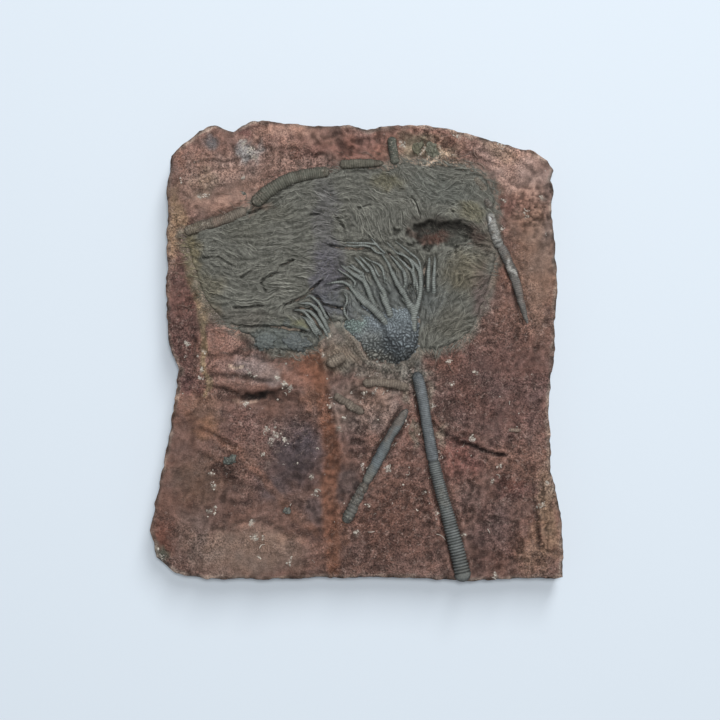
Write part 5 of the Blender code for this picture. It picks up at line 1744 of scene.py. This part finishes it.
class FOSSIL_OT_crown(bpy.types.Operator):
    """Make the three mats of pinnules, each a bed with its strands"""

    bl_idname = "fossil.crown"
    bl_label = "Crown"

    MOST_RUNS = 2600

    def execute(self, context):
        settings = context.scene.fossil_crown
        spacing = settings.spacing / MM
        dark, pale = srgb(62, 62, 57), srgb(150, 148, 136)
        bed_stone = stone_material("pinnule_bed", dark, pale, 420.0, 0.5, 0.45, 1500.0, 0.8)
        strand_stone = stone_material("pinnule_strand", dark, pale, 420.0, 0.4, 0.35, 1900.0, 0.3)
        for number, (name, outline) in enumerate(MATS.items()):
            self.lay_bed(name, outline, bed_stone)
            runs, shades = scatter_pinnules(outline, spacing, settings.width / MM, 101 + number)
            long_runs = long_pinnule_runs(outline, settings.long_width / MM, 111 + number)
            runs += long_runs
            # The long pinnules get the same painted highlight.
            shades = np.concatenate([shades, np.full(len(long_runs), 1.25)])
            for part, start in enumerate(range(0, len(runs), self.MOST_RUNS)):
                chunk = runs[start:start + self.MOST_RUNS]
                strands = tubes(f"{name}_strands_{part}", chunk, 4)
                points = read_points(strands.data)
                colour = crown_colour(points[:, 0], points[:, 1])
                shade = per_point(chunk, shades[start:start + len(chunk)], 4)
                # Painted shade: pinnules that lie low are darker, and so are their flanks.
                over = points[:, 2] - FLOW.on_grid(FLOW.level, points[:, 0], points[:, 1])
                shade *= 0.66 + 0.46 * smooth_step((over + 0.5) / 1.3)
                shade *= crest_shade(strands.data, 0.6, 1.07)
                paint(strands.data, colour * shade[:, None])
                finish_piece(strands, strand_stone, None)
        return {"FINISHED"}

    def lay_bed(self, name, outline, stone):
        """A thin closed sheet over one mat's outline, on the crown's streaky bed."""
        low = np.min(outline, axis=0) - 1.5
        high = np.max(outline, axis=0) + 1.5
        size = high - low
        centre = (low + high) / 2
        deselect()
        bpy.ops.mesh.primitive_grid_add(
            x_subdivisions=round(size[0] / 0.55), y_subdivisions=round(size[1] / 0.55), size=1.0,
        )
        bed = bpy.context.object
        bed.name = name + "_bed"
        points = read_points(bed.data) * MM
        points[:, :2] = points[:, :2] * size + centre
        x, y = points[:, 0], points[:, 1]
        points[:, 2] = FLOW.bed_height(x, y)
        write_points(bed.data, points)
        outside = inside_depth(x, y, outline) < -0.3
        outside |= inside_depth(x, y, CROWN_EDGE) < -0.3
        bpy.ops.object.mode_set(mode="EDIT")
        bpy.ops.mesh.select_mode(type="VERT")
        bpy.ops.mesh.select_all(action="DESELECT")
        bpy.ops.object.mode_set(mode="OBJECT")
        bed.data.vertices.foreach_set("select", outside)
        bpy.ops.object.mode_set(mode="EDIT")
        bpy.ops.mesh.delete(type="VERT")
        bpy.ops.mesh.select_all(action="SELECT")
        bpy.ops.mesh.extrude_region_move(TRANSFORM_OT_translate={"value": (0, 0, -1.5 * MM)})
        bpy.ops.mesh.select_all(action="SELECT")
        bpy.ops.mesh.normals_make_consistent(inside=False)
        bpy.ops.object.mode_set(mode="OBJECT")
        points = read_points(bed.data)
        x, y = points[:, 0], points[:, 1]
        # Painted shade: the bed darker where it lies low, in the gaps between bundles and beside the
        # arms.
        over = FLOW.bed_height(x, y) - FLOW.on_grid(FLOW.level, x, y)
        shade = 0.5 + 0.55 * smooth_step((over + 0.45) / 1.0)
        for gap in CROWN_GAPS:
            shade *= 1 - 0.65 * np.exp(-((line_distance(x, y, gap) / 1.0) ** 2))
        arm_gap = np.maximum(FLOW.on_grid(FLOW.arm_gap, x, y), 0)
        shade *= 1 - 0.22 * np.exp(-((arm_gap / 1.5) ** 2))
        paint(bed.data, crown_colour(x, y) * shade[:, None])
        finish_piece(bed, stone, name)


# ---------------------------------------------------------------------------------------------
# Stems, arms, cup and plates
# ---------------------------------------------------------------------------------------------


def ringed(route, pitches, groove, height, seed, taper):
    """Points, radii and groove darkening of a stem whose rings swell between fine grooves: grime and
    painted shade in the grooves.
    """
    points, radii, marks = along_route(route, min(pitches) / 5, height)
    pitch = np.interp(marks, (0, marks[-1]), pitches)
    phase = np.cumsum(np.gradient(marks) / pitch)
    to_joint = np.abs(phase - np.round(phase))
    joint = np.exp(-((to_joint / 0.2) ** 2))
    draw = np.random.default_rng(seed)
    uneven = draw.uniform(-0.03, 0.03, int(phase[-1]) + 3)[np.round(phase).astype(int)]
    ends = smooth_step(np.minimum(marks, marks[-1] - marks) / taper)
    shape = (1 + uneven - groove * joint) * (0.5 + 0.5 * ends)
    points[:, 2] -= 0.5 * radii * (1 - ends)
    return points, radii * shape, 1 - 0.45 * joint


def weather(obj, amount, seed):
    """Wears the points of a piece in and out along their normals."""
    points = read_points(obj.data)
    normals = read_normals(obj.data)
    x, y, z = points.T
    wear = soft_noise(x + 0.7 * z, y + 0.4 * z, 2.2, seed) + 0.6 * soft_noise(x - z, y, 5, seed + 1)
    write_points(obj.data, points + normals * (amount * wear)[:, None])


def stem_height(lift, ground=swelling):
    return lambda x, y, radius: ground(x, y) + lift * radius


class FOSSIL_OT_stems(bpy.types.Operator):
    """Make the ringed lengths of stem"""

    bl_idname = "fossil.stems"
    bl_label = "Stems"

    SIDES = 20

    def execute(self, context):
        settings = context.scene.fossil_stems
        grey_stone = stone_material(
            "stem_calcite", srgb(60, 62, 62), srgb(158, 160, 154), 330.0, 0.4, 0.3, 1300.0, 0.5,
        )
        buff_stone = stone_material(
            "weathered_calcite", srgb(74, 62, 54), srgb(176, 168, 154), 280.0, 0.6, 0.4, 1000.0,
            0.9, 0.55, (0.6, 0.58, 0.52),
        )
        for number, (name, (lift, pitches, fullness, colour, route)) in enumerate(STEMS.items()):
            taper = 1.0 if name in CLEAN_STEMS else 2.4
            route = [(x, y, radius * fullness) for x, y, radius in route]
            groove = settings.groove * RING_SHARE.get(name, 0.6)
            points, radii, grime_and_shade = ringed(
                route, pitches, groove, stem_height(lift), 120 + number, taper,
            )
            grime_and_shade = 1 - (1 - grime_and_shade) * groove / settings.groove
            uneven = 0.14 if name.startswith("second") else 0.07
            radii = radii * (1 + uneven * soft_noise(points[:, 0], points[:, 1], 9, 150 + number))
            run = (points, radii)
            stem = tubes(name + "_rings", [run], self.SIDES)
            grey = name in CLEAN_STEMS
            weather(stem, 0.08 if name.startswith("stem_") else 0.26, 140 + number)
            points = read_points(stem.data)
            shade = 1 + 0.16 * soft_noise(points[:, 0], points[:, 1], 4, 160 + number)
            shade += 0.2 * soft_noise(points[:, 0], points[:, 1], 1.1, 161)
            low = 0.36 if grey else 0.5
            # Painted shade: darker in the ring grooves, where grime lies too, and on the flanks; lighter
            # on the crest.
            shade *= per_point([run], [grime_and_shade], self.SIDES) * crest_shade(stem.data, low, 1.14)
            # Painted shade: the left flanks darker and the right flanks lighter.
            shade *= 1 + 0.25 * read_normals(stem.data)[:, 0]
            tone = painted(points[:, 0], points[:, 1], srgb(*colour), STEM_PATCHES)
            paint(stem.data, tone * shade[:, None], 0.25)
            stone = grey_stone if grey else buff_stone
            finish_piece(stem, stone, name)
        return {"FINISHED"}


class FOSSIL_OT_arms(bpy.types.Operator):
    """Make the free arms between the cup and the pinnules"""

    bl_idname = "fossil.arms"
    bl_label = "Arms"

    PITCHES = (1.25, 1.25)
    SIDES = 10

    def execute(self, context):
        settings = context.scene.fossil_stems
        stone = stone_material(
            "arm_calcite", srgb(64, 66, 64), srgb(156, 158, 150), 420.0, 0.4, 0.28, 1600.0, 0.4,
        )
        colour = np.array(settings.arm_colour)
        for number, (name, route) in enumerate(ARMS.items()):
            arm = self.make(name + "_segments", [route], 180 + number, colour)
            finish_piece(arm, stone, name)
        branches = self.make("arm_branches", ARM_BRANCHES, 197, colour)
        finish_piece(branches, stone)
        return {"FINISHED"}

    def make(self, name, routes, seed, colour):
        """Segmented tubes along the routes, with grime and painted shade between the segments, painted
        shade on their flanks, and darker toward their sunken tips.
        """
        runs, grime_and_shade_runs = [], []
        for number, route in enumerate(routes):
            points, radii, grime_and_shade = ringed(
                route, self.PITCHES, 0.2, self.height, seed + 40 * number, 1.5,
            )
            share = np.linspace(0, 1, len(points))
            tip = smooth_step((share - 0.6) / 0.4)
            points[:, 2] -= 1.5 * tip + 2.2 * smooth_step(1 - share * 6)
            radii = radii * (1 - 0.3 * tip)
            radii *= 1 + 0.16 * soft_noise(points[:, 0], points[:, 1] + 9 * number, 2.4, seed + 2)
            across = 0.22 * soft_noise(points[:, 0] + 7 * number, points[:, 1], 4, seed)
            points[:, 0] += across
            points[:, 1] += 0.6 * across
            runs.append((points, radii))
            grime_and_shade_runs.append(grime_and_shade * (1 - 0.12 * tip))
        arms = tubes(name, runs, self.SIDES)
        weather(arms, 0.13, seed + 1)
        points = read_points(arms.data)
        shade = 1 + 0.14 * soft_noise(points[:, 0], points[:, 1], 3, 220)
        shade += 0.2 * soft_noise(points[:, 0], points[:, 1], 0.9, 221)
        # Painted shade: darker between segments, on the flanks and toward the sunken tips; grime lies in
        # the grooves too.
        shade *= per_point(runs, grime_and_shade_runs, self.SIDES) * crest_shade(arms.data, 0.36, 1.2)
        paint(arms.data, colour * shade[:, None])
        return arms

    def height(self, x, y, radius):
        return swelling(x, y) + MAT_PROUD + 0.45 * radius


def plated_dome(name, centre, half_sizes, turn, plate, colour):
    """A dome whose surface is broken into plates, as one closed mesh in place."""
    deselect()
    bpy.ops.mesh.primitive_uv_sphere_add(segments=56, ring_count=28, radius=1.0)
    dome = bpy.context.object
    dome.name = name
    unit = read_points(dome.data) * MM
    cos, sin = math.cos(math.radians(turn)), math.sin(math.radians(turn))
    spin = np.array(((cos, sin, 0), (-sin, cos, 0), (0, 0, 1)))
    placed = (unit * half_sizes) @ spin + centre
    outward = (unit / half_sizes) @ spin
    outward /= np.linalg.norm(outward, axis=1)[:, None]
    x, y = placed[:, 0], placed[:, 1]
    edge = 1 + 0.3 * soft_noise(x, y, 3.5, 91) + 0.2 * soft_noise(x, y, 1.6, 92)
    placed[:, :2] = centre[:2] + (placed[:, :2] - centre[:2]) * edge[:, None]
    seam, own = plates(x, y, plate, 93)
    placed += outward * (0.6 * (smooth_step(seam / 0.5) - 1) + 0.25 * own)[:, None]
    write_points(dome.data, placed)
    # Painted shade: darker in the seams between plates and on the flanks.
    shade = (0.55 + 0.45 * smooth_step(seam / 0.4)) * (0.85 + 0.3 * own)
    shade *= crest_shade(dome.data, 0.5, 1.08)
    paint(dome.data, srgb(*colour) * shade[:, None])
    return dome


class FOSSIL_OT_calyx(bpy.types.Operator):
    """Make the crushed cup of small plates"""

    bl_idname = "fossil.calyx"
    bl_label = "Calyx"

    def execute(self, context):
        settings = context.scene.fossil_calyx
        stone = stone_material(
            "calyx_calcite", srgb(50, 54, 57), srgb(152, 158, 156), 420.0, 0.35, 0.25, 1700.0, 0.4,
        )
        cell = settings.cell / MM
        low = np.min(CALYX_EDGE, axis=0) - 1.5
        size = np.max(CALYX_EDGE, axis=0) + 1.5 - low
        columns, rows = (round(length / cell) for length in size)
        deselect()
        bpy.ops.mesh.primitive_grid_add(x_subdivisions=columns, y_subdivisions=rows, size=1.0)
        cup = context.object
        cup.name = "cup_plates"
        mesh = cup.data
        points = read_points(mesh) * MM
        points[:, :2] = (points[:, :2] + 0.5) * size + low
        x, y = points[:, 0], points[:, 1]
        depth = inside_depth(x, y, CALYX_EDGE) + 1.0 * soft_noise(x, y, 4, 94)
        depth += 0.7 * soft_noise(x, y, 1.8, 104)
        height, shade, colour = self.surface(x, y, depth, settings)
        points[:, 2] = height
        write_points(mesh, points)
        layer = mesh.attributes.new("shade", "FLOAT_COLOR", "POINT")
        values = np.ones((len(x), 4))
        values[:, :3] = colour * shade[:, None]
        layer.data.foreach_set("color", values.ravel())
        bpy.ops.object.mode_set(mode="EDIT")
        bpy.ops.mesh.select_mode(type="VERT")
        bpy.ops.mesh.select_all(action="DESELECT")
        bpy.ops.object.mode_set(mode="OBJECT")
        mesh.vertices.foreach_set("select", depth < -1.2)
        bpy.ops.object.mode_set(mode="EDIT")
        bpy.ops.mesh.delete(type="VERT")
        bpy.ops.mesh.select_all(action="SELECT")
        bpy.ops.mesh.delete_loose(use_verts=True, use_edges=True, use_faces=False)
        bpy.ops.mesh.select_all(action="SELECT")
        bpy.ops.mesh.extrude_region_move(TRANSFORM_OT_translate={"value": (0, 0, -2.5 * MM)})
        bpy.ops.mesh.select_all(action="SELECT")
        bpy.ops.mesh.normals_make_consistent(inside=False)
        bpy.ops.object.mode_set(mode="OBJECT")
        values = np.empty(len(mesh.vertices) * 4)
        mesh.attributes["shade"].data.foreach_get("color", values)
        paint(mesh, values.reshape(-1, 4)[:, :3])
        mesh.attributes.remove(mesh.attributes["shade"])
        finish_piece(cup, stone, "calyx")
        return {"FINISHED"}

    def surface(self, x, y, depth, settings):
        """Height, painted shade with some random tone, and colour of the cup at each place."""
        relief = settings.plate_relief / MM
        base = swelling(x, y) - 1.8 + 2.1 * smooth_step((depth + 1.2) / 5.0)
        rise = np.zeros(x.shape)
        for centre_x, centre_y, half_x, half_y, top in CALYX_LOBES:
            reach = np.hypot((x - centre_x) / half_x, (y - centre_y) / half_y)
            rise = np.maximum(rise, top * smooth_step(1.9 - 1.75 * reach))
        rise *= smooth_step((depth + 0.5) / 3.5)
        distance, side, along = line_frame(x, y, CALYX_FURROW)
        furrow = np.exp(-((distance / 1.3) ** 2)) * smooth_step(along * 5 + 0.3)
        low_part = smooth_step((24 - y + 0.3 * (x - 20)) / 20)
        wander_x = x + 1.3 * soft_noise(x, y, 3, 95) + 0.5 * soft_noise(x, y, 1.1, 100)
        wander_y = y + 1.3 * soft_noise(x, y, 3, 96) + 0.5 * soft_noise(x, y, 1.1, 101)
        height = base + rise - 1.1 * furrow + 0.35 * soft_noise(x, y, 4, 98)
        shade = np.ones(x.shape)
        plate = settings.plate / MM
        # Each plate's knob is raised; its seams are painted darker and its top lighter, as painted
        # shade.
        for size, share in ((0.7 * plate, 1 - low_part), (1.0 * plate, low_part)):
            seam, own = plates(wander_x, wander_y, size, 97 + int(10 * size))
            knob = smooth_step(seam / (0.36 * size)) * (0.75 + 0.5 * own)
            height += relief * share * (1.3 + 1.0 * low_part) * (knob - 0.5)
            shade += share * (0.9 + 0.5 * low_part) * (knob - 0.58)
        # Painted shade in the furrow and a painted shadow at the cup's lower edge.
        painted_shadow_edge = in_patch(x, y, 24, -1, 12, 8, -40)
        shade *= (1 - 0.5 * furrow) * (1 - 0.35 * painted_shadow_edge)
        shade *= 1 + 0.22 * soft_noise(x, y, 0.8, 102) + 0.12 * soft_noise(x, y, 3, 103)
        colour = np.tile(np.array(settings.colour), (len(x), 1))
        for *area, tone, strength in CALYX_PATCHES:
            mask = strength * in_patch(wander_x, wander_y, *area)
            colour += (tone - colour) * mask[:, None]
        return height, np.clip(shade, 0.2, 1.6), colour


class FOSSIL_OT_plates(bpy.types.Operator):
    """Make the small plates, nodules and the loose columnal"""

    bl_idname = "fossil.plates"
    bl_label = "Plates and nodules"

    def execute(self, context):
        stone = stone_material(
            "plate_calcite", srgb(60, 58, 54), srgb(164, 162, 150), 330.0, 0.55, 0.4, 1200.0, 0.8,
            0.5,
        )
        for name, (x, y, *half_sizes, turn, plate, colour) in DOMES.items():
            ground = float(swelling(np.array(x), np.array(y)))
            dome = plated_dome(
                name + "_surface", (x, y, ground), np.array(half_sizes), turn, plate, colour,
            )
            finish_piece(dome, stone, name)
        self.make_columnal(stone)
        return {"FINISHED"}

    def make_columnal(self, stone):
        """A round stem plate lying flat, with its lumen and a rounded rim."""
        x, y, radius, height = COLUMNAL
        ground = float(swelling(np.array(x), np.array(y)))
        deselect()
        bpy.ops.mesh.primitive_cylinder_add(
            vertices=32, radius=radius * MM, depth=2 * height * MM,
            location=(x * MM, y * MM, ground * MM),
        )
        columnal = bpy.context.object
        columnal.name = "columnal_surface"
        bpy.ops.object.transform_apply(location=True, rotation=True, scale=True)
        for inset, sink in ((0.5, 0.35), (1.4, -0.3), (0.7, 1.2)):
            self.pick_top(columnal)
            bpy.ops.object.mode_set(mode="EDIT")
            bpy.ops.mesh.inset(thickness=inset * MM)
            bpy.ops.transform.translate(value=(0, 0, -sink * MM))
            bpy.ops.object.mode_set(mode="OBJECT")
        weather(columnal, 0.25, 230)
        points = read_points(columnal.data)
        shade = 1 + 0.3 * soft_noise(points[:, 0], points[:, 1], 2, 231)
        # Painted shade on the columnal's flanks.
        shade *= crest_shade(columnal.data, 0.4, 1.0)
        paint(columnal.data, srgb(92, 96, 90) * shade[:, None], 0.8)
        finish_piece(columnal, stone, "columnal")

    def pick_top(self, obj):
        """Selects the face that looks up and has the smallest size."""
        upward = [face for face in obj.data.polygons if face.normal.z > 0.99]
        picked = min(upward, key=lambda face: face.area).index
        bpy.ops.object.mode_set(mode="EDIT")
        bpy.ops.mesh.select_mode(type="FACE")
        bpy.ops.mesh.select_all(action="DESELECT")
        bpy.ops.object.mode_set(mode="OBJECT")
        obj.data.polygons[picked].select = True


class FOSSIL_OT_calcite(bpy.types.Operator):
    """Make the white chips and threads of calcite that lie on the face"""

    bl_idname = "fossil.calcite"
    bl_label = "Calcite chips"

    SIDES = 6

    def execute(self, context):
        settings = context.scene.fossil_rock
        draw = np.random.default_rng(301)
        runs = []
        for line in ROCK_VEINLETS:
            route = [(x, y, 0.3) for x, y in line]
            points, radii, marks = along_route(route, 0.7, lambda x, y, r: 0 * x)
            points[:, 0] += 0.8 * soft_noise(points[:, 0], points[:, 1], 2, 302)
            points[:, 1] += 0.8 * soft_noise(points[:, 0], points[:, 1], 2, 303)
            radii *= 1 + 0.7 * soft_noise(points[:, 0], points[:, 1], 1.5, 304)
            runs.append((points, radii))
        for x, y, size, strength in CLUSTERS:
            lean = draw.uniform(0, math.pi)
            for _ in range(int(2 + 1.5 * size * size * strength)):
                turn = lean + draw.normal(0, 0.7)
                runs.append(self.chip(draw, x, y, 1.1 * size, draw.uniform(0.4, 1.9), turn))
            for _ in range(int(draw.uniform(0, 0.9) * size)):
                turn = lean + draw.normal(0, 0.5)
                runs.append(self.chip(draw, x, y, 2.4 * size, draw.uniform(2.2, 5), turn))
        scattered = draw.uniform((-125, -145), (125, 5), (260, 2))
        debris = find_debris(*scattered.T)
        kept = draw.random(len(scattered)) < debris * 1.2
        kept &= slab_depth(*scattered.T) > 3
        for x, y in scattered[kept]:
            turn = draw.uniform(0, math.pi)
            runs.append(self.chip(draw, x, y, 0.4, 0.4 + draw.exponential(1.3), turn))
        for points, radii in runs:
            points[:, 2] += rock_height(points[:, 0], points[:, 1], settings.roughness)
        chips = tubes("calcite_chips", runs, self.SIDES)
        weather(chips, 0.12, 305)
        shade = per_point(runs, draw.uniform(0.5, 1.1, len(runs)), self.SIDES)
        paint(chips.data, srgb(214, 206, 194) * shade[:, None])
        stone = stone_material(
            "white_calcite", srgb(140, 122, 106), srgb(226, 222, 214), 500.0, 0.4, 0.25, 1800.0,
            0.4,
        )
        finish_piece(chips, stone)
        return {"FINISHED"}

    def chip(self, draw, x, y, size, length, turn):
        """One chip or curved thread near a place, its height counted from the ground."""
        curve = draw.uniform(-0.6, 0.6) * min(length, 3)
        count = 5 if length < 2 else 11
        share = np.linspace(-0.5, 0.5, count)
        heading = turn + curve * share
        places_x = x + draw.normal(0, 0.5 * size) + length * share * np.cos(heading)
        places_y = y + draw.normal(0, 0.5 * size) + length * share * np.sin(heading)
        widest = draw.uniform(0.3, 0.72) if length < 2 else draw.uniform(0.2, 0.4)
        radii = widest * (1.05 - 1.6 * share**2 - 1.2 * np.abs(share) ** 3)
        return np.stack([places_x, places_y, np.full(count, 0.08)], axis=1), radii


# ---------------------------------------------------------------------------------------------
# Stage
# ---------------------------------------------------------------------------------------------


class FOSSIL_OT_stage(bpy.types.Operator):
    """Make the floor, the studio light and the camera"""

    bl_idname = "fossil.stage"
    bl_label = "Stage"

    AIM = (2.0 * MM, -6.0 * MM)
    SENSOR = 36.0
    FACE = 30 * MM

    def execute(self, context):
        settings = context.scene.fossil_stage
        deselect()
        bpy.ops.mesh.primitive_plane_add(size=8.0, location=(0, 0, 0))
        floor = context.object
        floor.name = "floor"
        paper = bpy.data.materials.new("floor_paper")
        paper.use_nodes = True
        surface = paper.node_tree.nodes["Principled BSDF"]
        surface.inputs["Base Color"].default_value = (*settings.floor, 1.0)
        surface.inputs["Roughness"].default_value = 0.9
        surface.inputs["Specular IOR Level"].default_value = 0.1
        floor.data.materials.append(paper)

        self.add_light("lamp_overhead", (0.08, 0.2, 3.0), (0.4, 0.4), 46.0)
        self.add_light("lamp_strip", (0.5, 1.45, 2.1), (0.7, 1.8), 34.0)
        world = bpy.data.worlds.new("studio")
        context.scene.world = world
        world.use_nodes = True
        background = world.node_tree.nodes["Background"]
        background.inputs["Color"].default_value = (0.96, 0.98, 1.0, 1.0)
        background.inputs["Strength"].default_value = 0.16

        height = self.FACE + settings.camera_height
        bpy.ops.object.camera_add(location=(*self.AIM, height), rotation=(0, 0, 0))
        camera = context.object
        camera.name = "camera"
        camera.data.sensor_width = self.SENSOR
        camera.data.lens = self.SENSOR * settings.camera_height / settings.view_width
        camera.data.clip_end = 20.0
        context.scene.camera = camera
        context.scene.view_settings.view_transform = "Standard"
        return {"FINISHED"}

    def add_light(self, name, place, size, power):
        bpy.ops.object.light_add(type="AREA", location=place)
        light = bpy.context.object
        light.name = name
        light.data.shape = "RECTANGLE"
        light.data.size, light.data.size_y = size
        light.data.energy = power
        towards = Vector((0, 0, 0)) - Vector(place)
        light.rotation_euler = towards.to_track_quat("-Z", "Y").to_euler()


# ---------------------------------------------------------------------------------------------
# Panel and running
# ---------------------------------------------------------------------------------------------


class FOSSIL_PT_panel(bpy.types.Panel):
    """The fossil's pieces and their settings"""

    bl_idname = "FOSSIL_PT_panel"
    bl_label = "Crinoid Fossil"
    bl_space_type = "VIEW_3D"
    bl_region_type = "UI"
    bl_category = "Fossil"

    def draw(self, context):
        groups = (
            ("fossil_rock", ("fossil.rock", "fossil.calcite")),
            ("fossil_crown", ("fossil.crown",)),
            ("fossil_stems", ("fossil.stems", "fossil.arms")),
            ("fossil_calyx", ("fossil.calyx", "fossil.plates")),
            ("fossil_stage", ("fossil.stage",)),
        )
        for settings_name, operators in groups:
            box = self.layout.box()
            settings = getattr(context.scene, settings_name)
            for field in settings.bl_rna.properties.keys()[2:]:
                box.prop(settings, field)
            for operator in operators:
                box.operator(operator)


SETTINGS = {
    "fossil_rock": FossilRockSettings,
    "fossil_crown": FossilCrownSettings,
    "fossil_stems": FossilStemSettings,
    "fossil_calyx": FossilCalyxSettings,
    "fossil_stage": FossilStageSettings,
}
CLASSES = (
    *SETTINGS.values(), FOSSIL_OT_rock, FOSSIL_OT_crown, FOSSIL_OT_stems, FOSSIL_OT_arms,
    FOSSIL_OT_calyx, FOSSIL_OT_plates, FOSSIL_OT_calcite, FOSSIL_OT_stage, FOSSIL_PT_panel,
)


def register():
    for cls in CLASSES:
        bpy.utils.register_class(cls)
    for name, group in SETTINGS.items():
        setattr(bpy.types.Scene, name, PointerProperty(type=group))


def unregister():
    for name in SETTINGS:
        delattr(bpy.types.Scene, name)
    for cls in reversed(CLASSES):
        bpy.utils.unregister_class(cls)


def main():
    register()
    bpy.ops.fossil.rock()
    bpy.ops.fossil.crown()
    bpy.ops.fossil.stems()
    bpy.ops.fossil.arms()
    bpy.ops.fossil.calyx()
    bpy.ops.fossil.plates()
    bpy.ops.fossil.calcite()
    bpy.ops.fossil.stage()


if __name__ == "__main__":
    main()
